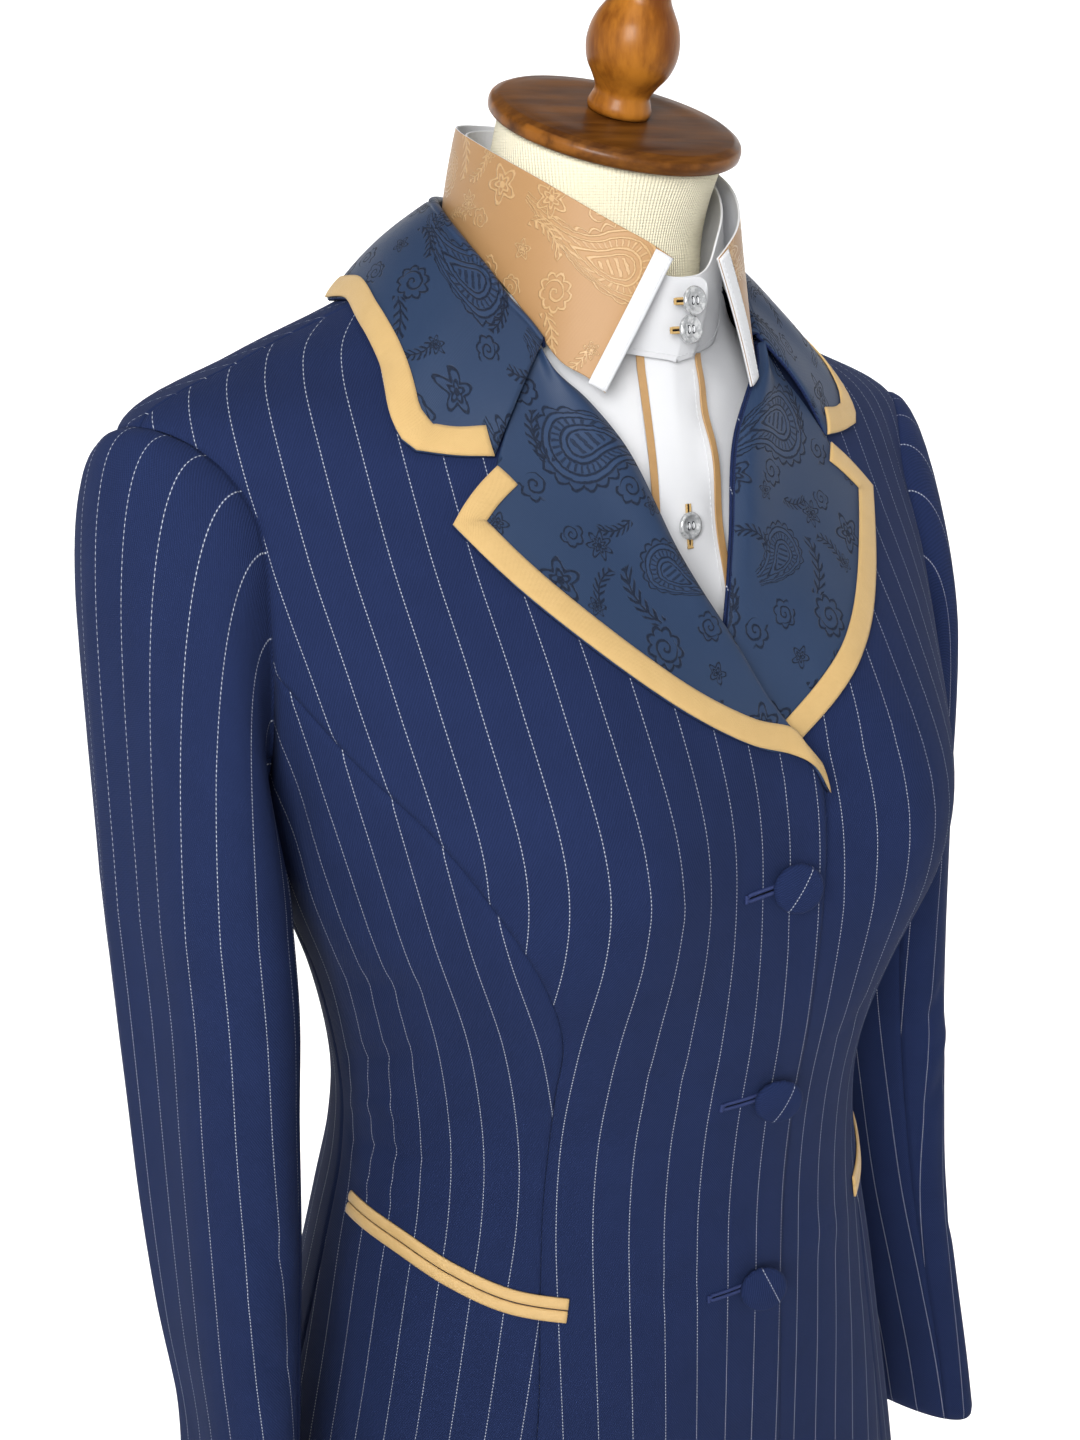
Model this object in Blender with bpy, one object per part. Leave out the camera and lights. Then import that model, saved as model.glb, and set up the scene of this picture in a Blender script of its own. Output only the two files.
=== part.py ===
"""Showmanship suit on a dress form: jacket, show shirt, limbless form, pole and base.

Lengths are in millimetres in the tables and in metres in the scene.  +Z is up, the suit
faces -Y, the wearer's right hand is on -X.  The origin is under the middle of the base.
Cloth is lofted on two smooth surfaces, body() for the jacket and chest() for the shirt;
every panel is a grid between two named edges, with its inner wall set in along the normal.
"""
import math

import bmesh
import bpy
import numpy as np

MM = 0.001

# ---- driving dimensions, millimetres ------------------------------------------------
WALL = 2.0            # jacket cloth with its backing
SHIRT_WALL = 1.1      # shirt cloth
LEAN = 0.033          # wearer's right shoulder sits higher by this slope
FRONT_LAP = 18.0      # right front passes the middle by this
UNDER = 2.6           # left front drops under the right one by this
ARMHOLE_MID = (22.0, 1290.0)    # side view: y, z
ARMHOLE_HALF = (52.0, 78.0)
JET = 5.6             # height of one pocket lip
BAND = 10.5           # width of the gold binding
BUTTON_R = 10.6
BUTTON_TURN = -24.0   # covered buttons lean on their shanks, towards the wearer's right
SHIRT_BUTTON_R = 5.8
NECK_TILT = 20.0      # neck cap leans forward, degrees
POLE_R = 14.0
BASE_R = 165.0
BASE_H = 32.0

# station, height, half width, front depth, back depth, front power, back power, y shift
BODY = np.array([
    (0, 775, 185, 136, 148, 0.92, 0.92, 4),
    (1, 830, 175, 132, 141, 0.92, 0.92, 3),
    (2, 890, 163, 128, 134, 0.93, 0.93, 2),
    (3, 950, 150, 125, 129, 0.96, 0.96, 0),
    (4, 1000, 139, 124, 123, 1.00, 1.00, 0),
    (5, 1040, 131, 123, 113, 1.00, 1.00, 0),
    (6, 1080, 130, 126, 107, 1.00, 1.00, 0),
    (7, 1130, 140, 133, 104, 0.96, 0.98, 0),
    (8, 1180, 158, 134, 103, 0.91, 0.94, 0),
    (9, 1230, 172, 132, 107, 0.90, 0.91, 3),
    (10, 1280, 183, 119, 114, 0.95, 0.88, 9),
    (11, 1325, 196, 102, 110, 1.08, 0.88, 19),
    (12, 1366, 203, 90, 88, 1.40, 0.90, 24),
    (13, 1391, 151, 94, 72, 1.45, 0.95, 34),
    (14, 1408, 108, 99, 62, 1.25, 1.00, 40),
    (15, 1425, 80, 80, 62, 1.00, 1.00, 22),
    (16, 1438, 62, 61, 50, 1.00, 1.00, 11),
], float)


def smooth(table, t):
    """Cubic through the rows of a table whose first column is the knot."""
    tab = np.asarray(table, float)
    k, v = tab[:, 0], tab[:, 1:]
    h = np.diff(k)[:, None]
    d = np.diff(v, axis=0) / h
    m = np.vstack([d[:1], (d[:-1] * h[1:] + d[1:] * h[:-1]) / (h[1:] + h[:-1]), d[-1:]])
    t = np.clip(np.asarray(t, float), k[0], k[-1])
    i = np.clip(np.searchsorted(k, t, side="right") - 1, 0, len(k) - 2)
    g = (k[i + 1] - k[i])[..., None]
    u = (t - k[i])[..., None] / g
    return ((2 * u**3 - 3 * u**2 + 1) * v[i] + (u**3 - 2 * u**2 + u) * g * m[i]
            + (3 * u**2 - 2 * u**3) * v[i + 1] + (u**3 - u**2) * g * m[i + 1])


def power(a, p):
    return np.sign(a) * np.abs(a) ** p


def shape(th, s, hollow):
    """Point of the trunk at angle th (0 is the front, + is the wearer's left), station s."""
    z, w, f, b, pf, pb, y0 = np.moveaxis(smooth(BODY, s), -1, 0)
    cs = np.cos(th)
    p = np.where(cs > 0, pf, pb)
    x = w * power(np.sin(th), p)
    y = y0 - np.where(cs > 0, f, b) * power(cs, p)
    bust = 20 * np.exp(-((np.abs(x) - 86) / 48) ** 2 - ((z - 1200) / 62) ** 2)
    y = y - bust * (cs > 0) * np.clip(cs * 2.5, 0, 1)
    y = y + hollow * 30 * np.exp(-(x / 65) ** 2 - ((z - 1270) / 55) ** 2) * (cs > 0)
    z = z - LEAN * x * np.clip((z - 1180) / 160, 0, 1)
    return np.stack([x, y, z], -1)


def surface(th, s, off, hollow=0.0):
    """Trunk point moved out along its normal by off."""
    th, s, off = np.broadcast_arrays(np.asarray(th, float), np.clip(s, 0.0, 15.98), off)
    e = 2e-3
    across = shape(th + e, s, hollow) - shape(th - e, s, hollow)
    up = shape(th, np.minimum(s + 5 * e, 16), hollow) - shape(th, np.maximum(s - 5 * e, 0), hollow)
    n = np.cross(across, up)
    n /= np.linalg.norm(n, axis=-1, keepdims=True)
    return shape(th, s, hollow) + n * np.asarray(off, float)[..., None]


def body(th, s, off=0.0):
    return surface(th, s, off)


def chest(th, s, off=0.0):
    """Shirt surface: under the jacket, and hollow between the busts."""
    deep = np.interp(s, [0, 11.5, 13.3, 15, 16], [-11.0, -9.5, -9.5, -14.5, -13.5])
    return surface(th, s, off + deep, 1.0)


def th_of_x(x, s):
    """Angle of the front point with this x."""
    row = smooth(BODY, s)
    w, pf = row[..., 1], row[..., 4]
    return np.arcsin(power(np.clip(np.asarray(x, float) / w, -1, 1), 1 / pf))


def at_side(y, z, side):
    """Angle and station of the trunk's side point with this y and height."""
    s = np.interp(z, BODY[:, 1], BODY[:, 0])
    for _ in range(6):
        s = s + (z - smooth(BODY, s)[..., 0]) / 40.0
    row = smooth(BODY, s)
    f, b, pf, pb, y0 = (row[..., k] for k in (2, 3, 4, 5, 6))
    q = y0 - np.asarray(y, float)
    c = np.where(q > 0, power(np.clip(q / f, -1, 1), 1 / pf), power(np.clip(q / b, -1, 1), 1 / pb))
    return side * np.arccos(np.clip(c, -1, 1)), s


# ---- meshes ------------------------------------------------------------------------------
def material(name, colour, rough, metallic=0.0):
    m = bpy.data.materials.new(name)
    m.use_nodes = True
    b = m.node_tree.nodes["Principled BSDF"]
    b.inputs["Base Color"].default_value = (*colour, 1.0)
    b.inputs["Roughness"].default_value = rough
    b.inputs["Metallic"].default_value = metallic
    return m


def add(name, verts, faces, mat):
    me = bpy.data.meshes.new(name)
    me.from_pydata([tuple(v) for v in np.asarray(verts) * MM], [], faces)
    bm = bmesh.new()
    bm.from_mesh(me)
    bmesh.ops.recalc_face_normals(bm, faces=bm.faces)
    bm.to_mesh(me)
    bm.free()
    ob = bpy.data.objects.new(name, me)
    bpy.context.scene.collection.objects.link(ob)
    me.materials.append(mat)
    for poly in me.polygons:
        poly.use_smooth = True
    return ob


def shell(name, outer, inner, mat):
    """Closed wall between two grids of points."""
    r, c = outer.shape[:2]
    n = r * c
    verts = np.concatenate([outer.reshape(-1, 3), inner.reshape(-1, 3)])
    faces = []
    for i in range(r - 1):
        for j in range(c - 1):
            a, b = i * c + j, i * c + j + 1
            d, e = a + c, b + c
            faces.append((a, b, e, d))
            faces.append((n + d, n + e, n + b, n + a))
    for j in range(c - 1):
        a, b = j, j + 1
        faces.append((b, a, n + a, n + b))
        a, b = (r - 1) * c + j, (r - 1) * c + j + 1
        faces.append((a, b, n + b, n + a))
    for i in range(r - 1):
        a, d = i * c, i * c + c
        faces.append((a, d, n + d, n + a))
        a, d = a + c - 1, d + c - 1
        faces.append((d, a, n + a, n + d))
    return add(name, verts, faces, mat)


def stack(name, rings, mat):
    """Solid through closed rings, capped flat at both ends."""
    rings = np.asarray(rings)
    r, c = rings.shape[:2]
    verts = rings.reshape(-1, 3)
    faces = [(i * c + j, i * c + (j + 1) % c, (i + 1) * c + (j + 1) % c, (i + 1) * c + j)
             for i in range(r - 1) for j in range(c)]
    faces.append(tuple(range(c))[::-1])
    faces.append(tuple((r - 1) * c + j for j in range(c)))
    return add(name, verts, faces, mat)


def lathe(name, profile, mat, at, tilt, segments, turn=0.0):
    """Turned solid: profile rows (radius, height), leaned by tilt to -Y, then turned about Z."""
    t = np.arange(segments) * 2 * math.pi / segments
    rings = [np.stack([r * np.cos(t), r * np.sin(t), np.full(segments, h)], -1) for r, h in profile]
    p = np.array(rings)
    a = math.radians(tilt)
    y, z = p[..., 1].copy(), p[..., 2].copy()
    p[..., 1] = y * math.cos(a) - z * math.sin(a)
    p[..., 2] = y * math.sin(a) + z * math.cos(a)
    b = math.radians(turn)
    x, y = p[..., 0].copy(), p[..., 1].copy()
    p[..., 0] = x * math.cos(b) - y * math.sin(b)
    p[..., 1] = x * math.sin(b) + y * math.cos(b)
    return stack(name, p + np.asarray(at, float), mat)


def line(table, n):
    """n points along a table of rows, evenly spread over its own length."""
    tab = np.asarray(table, float)
    weight = np.array([3.0, 1.0]) if tab.shape[1] == 2 else 1.0
    k = np.concatenate([[0], np.cumsum(np.linalg.norm(np.diff(tab * weight, axis=0), axis=1))])
    return smooth(np.column_stack([k, tab]), np.linspace(0, k[-1], n))


def broken(parts, counts):
    """Several lines end to end, sharing their corner points."""
    out = [line(parts[0], counts[0])]
    for p, n in zip(parts[1:], counts[1:]):
        out.append(line(p, n)[1:])
    return np.concatenate(out)


def between(a, b, cols):
    """Grid of (angle, station) between two edges with the same number of rows."""
    u = np.linspace(0, 1, cols)[None, :, None]
    return a[:, None] * (1 - u) + b[:, None] * u


def panel(name, edge_a, edge_b, cols, mat, off, thick):
    """Shirt piece between two edges, off from the chest, thick into it."""
    g = between(edge_a, edge_b, cols)
    return shell(name, chest(g[..., 0], g[..., 1], off), chest(g[..., 0], g[..., 1], off - thick), mat)


# ---- named edges on the trunk: rows of (angle in degrees, station) ------------------------
def edge(rows, side=1):
    tab = np.array(rows, float)
    tab[:, 0] = np.radians(tab[:, 0]) * side
    return tab


def edge_x(rows, side=1):
    """Front edge given as rows of (x, station); x grows towards the wearer's left."""
    tab = np.array(rows, float)
    tab[:, 0] = th_of_x(tab[:, 0] * side, tab[:, 1])
    return tab


def armhole(a0, a1, n, side):
    """Armhole arc; 0 is the shoulder tip, 90 the front, 180 the underarm."""
    a = np.radians(np.linspace(a0, a1, n))
    y = ARMHOLE_MID[0] - ARMHOLE_HALF[0] * np.sin(a)
    z = ARMHOLE_MID[1] + ARMHOLE_HALF[1] * np.cos(a)
    return np.stack(at_side(y, z, side), -1)


PRINCESS = [(41, 0), (40, 3), (42.7, 4.2), (43.9, 5.64), (42.3, 6.55), (40.8, 7.09),
            (42.5, 7.73), (46.6, 8.32), (53.0, 8.94), (62.4, 9.44)]
SIDE_SEAM = [(101, 0), (99, 3), (98, 6), (98, 8)]
BACK_PRINCESS = [(141, 0), (141, 3), (143, 5.5), (140, 7.6), (131, 9.1)]
SHOULDER = 87.5       # angle of the shoulder seam
NECKLINE = [(SHOULDER + 4, 15.2), (120, 15.0), (180, 14.75)]

# x and station of the roll line, from the lapel's break up to the neck
ROLL_RIGHT = [(20, 8.95), (18, 9.2), (7, 9.48), (-11, 10.26), (-25, 11.29), (-44, 12.50),
              (-52.5, 12.95), (-56, 13.4)]
ROLL_LEFT = [(-19, 9.0), (-17, 9.5), (-8, 10.25), (10, 11.12), (27, 12.00), (42, 12.55),
             (52.5, 12.95), (56, 13.4)]
LAPEL_EDGE = [(20.6, 8.93), (12, 9.21), (-9, 9.35), (-39, 9.66), (-68, 10.13), (-83, 10.45),
              (-110, 11.22)]
LAPEL_TOP = [(-110, 11.22), (-98, 11.50), (-87, 11.70)]
GORGE = [(-87, 11.70), (-80, 12.03), (-72, 12.42), (-64, 12.91), (-59, 13.25)]
POCKET = [(-37.4, 4.10), (-48.2, 4.17), (-60.6, 4.34), (-72.7, 4.51), (-90.0, 4.60)]
COLLAR_END = [(-87, 11.78), (-101, 11.79), (-115, 11.84)]
COLLAR_EDGE = [(-41.6, 11.84), (-49.5, 12.61), (-65.8, 13.62), (-86, 14.2), (-110, 14.15),
               (-140, 14.05), (-180, 14.0)]
# angle, x, y, z of the jacket collar's fold, wearer's right half
COLLAR_FOLD = [(-57.0, -41.5, 1402.0), (-59.5, -34.5, 1409.0), (-62.5, -26.5, 1415.5),
               (-66.0, -13.2, 1427.8), (-67.5, 0.5, 1437.0), (-63.5, 27.5, 1449.4),
               (-47.5, 56.2, 1454.3), (-24.0, 73.5, 1453.0), (0.0, 79.3, 1452.0)]
# share of the way round from gorge to back, drop of the collar's stand, its spread
STAND = [(0, 3, -1), (0.12, 4, 0), (0.25, 6, 2), (0.4, 10, 6), (0.6, 18, 7), (1, 26, 7)]


def front_drop(side):
    """How far the left front lies under the right one."""
    def lift(th, s):
        if side < 0:
            return np.zeros_like(s)
        x = shape(th, s, 0.0)[..., 0]
        roll = np.interp(s, [8.9, 9.2, 9.48, 10.26, 11.3, 12.5], [20, 18, 7, -11, -25, -44])
        depth = UNDER + 5.2 * np.clip((s - 7.9) / 1.3, 0, 1)
        t = np.clip((roll + 54 - x) / 50, 0, 1) * np.clip((11.4 - s) / 1.6, 0, 1)
        return -depth * t * t * (3 - 2 * t)
    return lift


def seam(rows, meets, side, n=17):
    """A body seam from the hem up to the place where it meets the armhole."""
    return line(np.vstack([edge(rows, side), armhole(meets, meets, 1, side)]), n)


def jacket_body(cloth):
    for side, word in ((-1, "right"), (1, "left")):
        tip = armhole(97, 0, 7, side)
        # front: princess seam, armhole, shoulder seam against fore edge, roll line, neckline
        outer = np.concatenate([
            seam(PRINCESS, 97, side), tip[1:],
            line(edge([(SHOULDER - 0.3, 12.05), (SHOULDER - 0.3, 15.2)], side), 6)[1:]])
        roll = ROLL_RIGHT if side < 0 else ROLL_LEFT
        fore = edge_x([(FRONT_LAP, 0), (FRONT_LAP, 3), (FRONT_LAP, 6), (FRONT_LAP + 1, 8), (20, 8.93)])
        if side > 0:
            fore[:, 0] *= -1
        neck = edge([(36, 13.45), (46, 13.9), (66, 14.6), (SHOULDER - 4, 15.2)], side)
        inner = np.concatenate([line(fore, len(outer) - 14), line(edge_x(roll), 10)[1:],
                                line(neck, 6)[1:]])
        # columns stand closer together towards the fore edge, and just short of both edges
        u = np.linspace(0.0015 ** 0.8, 0.9985 ** 0.8, 9)[None, :, None] ** 1.25
        g = inner[:, None] * (1 - u) + outer[:, None] * u
        lift = front_drop(side)(g[..., 0], g[..., 1])
        shell("front_" + word, body(g[..., 0], g[..., 1], lift),
              body(g[..., 0], g[..., 1], lift - WALL), cloth)

        # side front and side back: straight edges below, the armhole's arc on top
        seams = [("side_front_", PRINCESS, SIDE_SEAM, 97, 193, 6),
                 ("side_back_", SIDE_SEAM, BACK_PRINCESS, 193, 250, 5)]
        for stem, a, b, a0, a1, cols in seams:
            a, b = seam(a, a0, side), seam(b, a1, side)
            v = np.linspace(0, 1, len(a))[:, None, None]
            u = np.linspace(0.002, 0.998, cols)[None, :, None]
            arc = armhole(a0 + 0.2, a1 - 0.2, cols, side)[None]
            flat = a[-1:, None] * (1 - u) + b[-1:, None] * u
            g = a[:, None] * (1 - u) + b[:, None] * u + v**4 * (arc - flat)
            shell(stem + word, body(g[..., 0], g[..., 1]), body(g[..., 0], g[..., 1], -WALL), cloth)

        outer = np.concatenate([
            seam(BACK_PRINCESS, 250, side), armhole(250, 358.5, 7, side)[1:],
            line(edge([(SHOULDER + 0.3, 12.05), (SHOULDER + 0.3, 15.2)], side), 6)[1:]])
        middle = line(edge([(180, 0), (180, 4), (180, 8), (180, 12), (180, 14.2)], side), len(outer) - 5)
        top = line(edge([(180, 14.2)] + NECKLINE[::-1], side), 6)[1:]
        middle = np.concatenate([middle, top])
        u = np.linspace(0.002, 0.998, 7)[None, :, None]
        g = middle[:, None] * (1 - u) + outer[:, None] * u
        shell("back_" + word, body(g[..., 0], g[..., 1]), body(g[..., 0], g[..., 1], -WALL), cloth)


# height, middle x (wearer's left), middle y, half depth, outer half, inner half, turn in degrees
SLEEVE = [(1180, 190.0, 22, 65, 32.0, 29.5, 0), (1140, 190.0, 20, 65, 31.0, 30.0, 0),
          (1090, 190.0, 17, 62, 30.0, 29.0, 3), (1040, 190.5, 13, 59, 29.0, 28.0, 5),
          (990, 191.5, 8, 56, 26.5, 26.0, 8), (940, 192.5, 2, 54, 22.5, 22.5, 11),
          (880, 201.0, -5, 52, 20.0, 20.0, 13), (820, 211.0, -12, 50, 19.0, 19.0, 14),
          (785, 216.0, -16, 49, 19.0, 19.0, 14)]


def sleeve_ring(row, a, side):
    z, cx, cy, deep, out, inn, turn = row
    x = np.where(np.cos(a) > 0, out, inn) * power(np.cos(a), 0.88)
    y = -deep * power(np.sin(a), 0.95)
    t = math.radians(turn)
    return np.stack([side * (cx + x * math.cos(t) - y * math.sin(t)),
                     cy + x * math.sin(t) + y * math.cos(t), np.full_like(a, z)], -1)


def sleeve_grid(a0, a1, cols, side, cap_rows=6):
    """Rings from the armhole to the cuff; angle 0 is the outside, 90 the front."""
    a = np.radians(np.linspace(a0, a1, cols))
    th, s = at_side(ARMHOLE_MID[0] - ARMHOLE_HALF[0] * np.sin(a),
                    ARMHOLE_MID[1] + ARMHOLE_HALF[1] * np.cos(a), side)
    start = body(th, s) + np.array([side * 0.7, 0, 0])
    top = (1 + np.cos(a)) / 2
    way = np.stack([side * (0.25 + 0.95 * top), -0.45 * np.sin(a), 0.05 - 0.75 * (1 - top)], -1)
    way /= np.linalg.norm(way, axis=-1, keepdims=True)
    first = sleeve_ring(SLEEVE[0], a, side)
    drop = start[:, 2] - first[:, 2]
    c1 = start + way * (12 + 15 * top)[:, None]
    c2 = first + np.stack([np.zeros_like(a), np.zeros_like(a), 0.55 * drop], -1)
    grid = []
    for t in np.linspace(0, 1, cap_rows)[:-1] ** 1.25:
        grid.append((1 - t)**3 * start + 3 * t * (1 - t)**2 * c1
                    + 3 * t * t * (1 - t) * c2 + t**3 * first)
    heights = np.array([1180, 1135, 1090, 1045, 1000, 955, 905, 850, 815, 785.0])
    tab = np.array(SLEEVE)[::-1]
    for z in heights:
        grid.append(sleeve_ring((z, *smooth(tab, z)), a, side))
    return np.array(grid)


def wall(grid, t, away):
    """Points of a grid moved in by t along its normals, which point away from the given points."""
    n = np.cross(np.gradient(grid, axis=1), np.gradient(grid, axis=0))
    n /= np.linalg.norm(n, axis=-1, keepdims=True) + 1e-9
    n *= np.sign((n * (grid - away)).sum())
    return grid - n * t


def sleeves(cloth):
    for side, word in ((-1, "right"), (1, "left")):
        for stem, a0, a1, cols in (("sleeve_top_", -112.0, 126.0, 11), ("sleeve_under_", 126.4, 247.6, 7)):
            step = (a1 - a0) / (cols - 1)
            wide = sleeve_grid(a0 - step, a1 + step, cols + 2, side)
            mid = smooth(np.array(SLEEVE)[::-1], np.clip(wide[..., 2], 785, 1180))
            away = np.stack([side * mid[..., 0], mid[..., 1], wide[..., 2]], -1)
            inner = wall(wide, WALL, away)
            shell(stem + word, wide[:, 1:-1], inner[:, 1:-1], cloth)


def inset(on, points, dist, turn):
    """Points of a surface moved sideways over it by dist, mitred at the corners of their line."""
    e = 1e-3
    a, b = points[:, 0], points[:, 1]
    p = on(a, b, 0.0)
    da = (on(a + e, b, 0.0) - on(a - e, b, 0.0)) / (2 * e)
    db = (on(a, b + e, 0.0) - on(a, b - e, 0.0)) / (2 * e)
    n = np.cross(da, db)
    n /= np.linalg.norm(n, axis=-1, keepdims=True)
    seg = np.diff(p, axis=0)
    seg /= np.linalg.norm(seg, axis=-1, keepdims=True)
    sa = np.cross(n, np.vstack([seg[:1], seg])) * turn
    sb = np.cross(n, np.vstack([seg, seg[-1:]])) * turn
    mid = sa + sb
    mid /= np.linalg.norm(mid, axis=-1, keepdims=True)
    move = mid * (dist / np.clip((mid * sa).sum(-1, keepdims=True), 0.35, 1))
    step = [np.linalg.lstsq(np.stack([da[k], db[k]], -1), move[k], rcond=None)[0] for k in range(len(p))]
    return points + np.array(step)


def strip(name, line_a, line_b, low, thick, mat, lift=None, cols=3):
    g = between(line_a, line_b, cols)
    o = low if lift is None else low + lift(g[..., 0], g[..., 1])
    return shell(name, body(g[..., 0], g[..., 1], o + thick), body(g[..., 0], g[..., 1], o), mat)


def lapels(silk, gold):
    for side, word in ((-1, "right"), (1, "left")):
        roll = edge_x(ROLL_RIGHT) if side < 0 else edge_x(ROLL_LEFT)
        flip = 1 if side < 0 else -1
        rim = [edge_x([(x * flip, s) for x, s in rows]) for rows in (LAPEL_EDGE, LAPEL_TOP, GORGE)]
        if side > 0:
            rim[0] = rim[0][2:]
            rim[0][0] = [th_of_x(2.0, 9.22), 9.22]
            roll = roll[1:]
        outer = broken(rim, (13, 2, 4))
        n = len(outer)
        spread = np.interp(np.arange(n), [0, 12, 13, n - 1], [0, 38, 48, 60])
        inner = line(roll[1:] if side < 0 else roll, 61)[spread.round().astype(int)]
        drop = front_drop(side)

        u = np.linspace(0, 1, 7)[None, :, None]
        g = inner[:, None] * (1 - u) + outer[:, None] * u
        calm = np.clip((np.arange(len(g)) - 3) / 5, 0, 1)[:, None]
        bulge = 1.8 * np.exp(-((u[..., 0] - 0.12) / 0.2) ** 2) * calm
        o = drop(g[..., 0], g[..., 1]) + bulge + (0.7 if side < 0 else 1.7)
        shell("lapel_" + word, body(g[..., 0], g[..., 1], o + 1.5), body(g[..., 0], g[..., 1], o), silk)

        path = broken(rim[:2], (15, 4))
        inner = inset(body, path, BAND, side)
        if side < 0:
            inner[0] = edge_x([(18.4, 9.17)])[0]
            inner[1] = inner[0] * 0.45 + inner[2] * 0.55
        strip("lapel_binding_" + word, path, inner, 2.6 if side < 0 else 3.6, 0.8, gold, drop)


def leaned(p):
    """Points given as if the wearer stood level, moved to the suit's own lean."""
    q = np.array(p, float)
    q[..., 2] -= LEAN * q[..., 0] * np.clip((q[..., 2] - 1180) / 160, 0, 1)
    return q


def draped(fold, rim, bow, up=(0, 0, 1)):
    """Leaf of cloth from a fold to its rim: on(station, way, off), way 0 at the fold."""
    k = np.arange(len(fold))[:, None]
    out = np.cross(np.gradient(fold, axis=0), rim - fold)
    out /= np.linalg.norm(out, axis=-1, keepdims=True)
    out *= np.sign(out @ np.array(up, float))[:, None]
    tab = np.hstack([k, fold, rim, out])

    def on(i, u, off=0.0):
        row = smooth(tab, i)
        f, r, o = row[..., 0:3], row[..., 3:6], row[..., 6:9]
        u = np.asarray(u, float)[..., None]
        rise = bow * np.sin(np.pi * np.clip(u, 0, 1)) + np.asarray(off, float)[..., None]
        return f * (1 - u) + r * u + o * rise
    return on


def collar(silk, gold):
    halves = []
    for side in (-1, 1):
        rim = broken([edge_x([(x * -side, s) for x, s in COLLAR_END]), edge(COLLAR_EDGE, -side)],
                     (3, 12))
        n = len(rim)
        fold = line(COLLAR_FOLD, n) * np.array([-side, 1, 1])
        fold = leaned(fold)
        halves.append((fold, body(rim[:, 0], rim[:, 1], 2.9), smooth(STAND, np.linspace(0, 1, n))))
    fold, rim, foot = (np.concatenate([r, l[::-1][1:]]) for r, l in zip(*halves))
    on = draped(fold, rim, 3.0)
    m = len(fold)
    toward = np.stack([-fold[:, 0], 12 - fold[:, 1], np.zeros(m)], -1)
    toward /= np.linalg.norm(toward, axis=-1, keepdims=True)
    drop, spread = foot[:, :1], foot[:, 1:]
    foot = fold + toward * (4.6 - spread) - drop * np.array([0, 0, 1.0])
    inner = fold + toward * 4.6 + np.array([0, 0, -1.0])
    crown = fold + toward * 2.3 + np.array([0, 0, 1.6])
    i = np.arange(m)
    cols = [foot, foot * 0.5 + inner * 0.5, inner, crown]
    cols += [on(i, np.full(m, u)) for u in (0, 0.25, 0.5, 0.75, 1.0)]
    grid = np.stack(cols, 1)
    away = np.repeat(((fold + inner) / 2 + np.array([0, 0, -8.0]))[:, None], len(cols), 1)
    shell("collar", grid, wall(grid, 1.5, away), silk)

    path = np.stack([i, np.ones(m)], -1).astype(float)
    path[:, 1] = 0.998
    low = inset(on, path, BAND, -1)
    u = np.linspace(0, 1, 3)[None, :, None]
    g = path[:, None] * (1 - u) + low[:, None] * u
    shell("collar_binding", on(g[..., 0], g[..., 1], 2.3), on(g[..., 0], g[..., 1], 1.5), gold)


def pockets(gold):
    for side, word in ((-1, "right"), (1, "left")):
        p = line(edge(POCKET, -side), 11)
        for stem, turn in (("pocket_jet_upper_", 1), ("pocket_jet_lower_", -1)):
            turn *= side
            near = inset(body, p, 0.5, turn)
            far = inset(body, p, JET, turn)
            g = between(near, far, 3)
            o = np.array([0.8, 1.6, 0.8])[None, :]
            o = np.broadcast_to(o, g.shape[:2])
            shell(stem + word, body(g[..., 0], g[..., 1], o + 0.9),
                  body(g[..., 0], g[..., 1], o - 0.1), gold)


def buttons(cloth):
    for k, z in enumerate((1192.0, 1095.0, 1000.0), 1):
        s = np.interp(z, BODY[:, 1], BODY[:, 0])
        for _ in range(5):
            s += (z - smooth(BODY, s)[0]) / 45
        at = body(0.0, s, 3.9)
        out = body(0.0, s, 4.9) - at
        tilt = math.degrees(math.atan2(-out[1], out[2]))
        rows = [(2.4, -2.4), (2.6, 1.2), (BUTTON_R - 1.4, 1.5), (BUTTON_R, 2.6), (BUTTON_R - 0.3, 3.9),
                (BUTTON_R - 2.2, 5.2), (BUTTON_R - 6, 6.1), (2.0, 6.5)]
        lathe("button_%d" % k, rows, cloth, at, tilt, 16, BUTTON_TURN)


# angle, then x, y, z of the shirt stand's top edge, wearer's right half
STAND_TOP = [(0, 0, -61.5, 1427), (9, -10, -61, 1428), (16, -17, -58.5, 1431), (26, -26, -53, 1441),
             (40, -37, -43, 1450.5), (60, -46.5, -27, 1461), (82, -51.5, -8, 1469.5),
             (100, -52, 10, 1475.5), (120, -47.5, 29, 1480.5), (145, -34, 48, 1483.5),
             (165, -17, 59, 1484.5), (180, 0, 62.5, 1484.5)]
STAND_FOOT = [(0, 13.4), (20, 13.7), (45, 14.9), (70, 15.6), (90, 15.9), (180, 15.9)]
# x, y, z of the shirt collar's fold and of its lower edge, wearer's right half
SHIRT_FOLD = [(-11.5, -65.5, 1434.5), (-20, -62, 1440), (-30, -55.5, 1446), (-40, -45, 1453.5),
              (-49, -29, 1462.5), (-54, -8, 1471), (-54.5, 10, 1477), (-50, 30, 1482),
              (-36, 50, 1485), (-18, 61, 1486), (0, 64.5, 1486)]
SHIRT_RIM = [(-38.5, -58, 1382.5), (-44, -54.5, 1388), (-50, -46, 1393), (-54.5, -32, 1407),
             (-58, -15, 1422), (-59.5, 2, 1431), (-58, 19, 1437), (-51.5, 42.5, 1442),
             (-33, 62, 1444), (-15.5, 68, 1445), (0, 69.5, 1445)]


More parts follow.
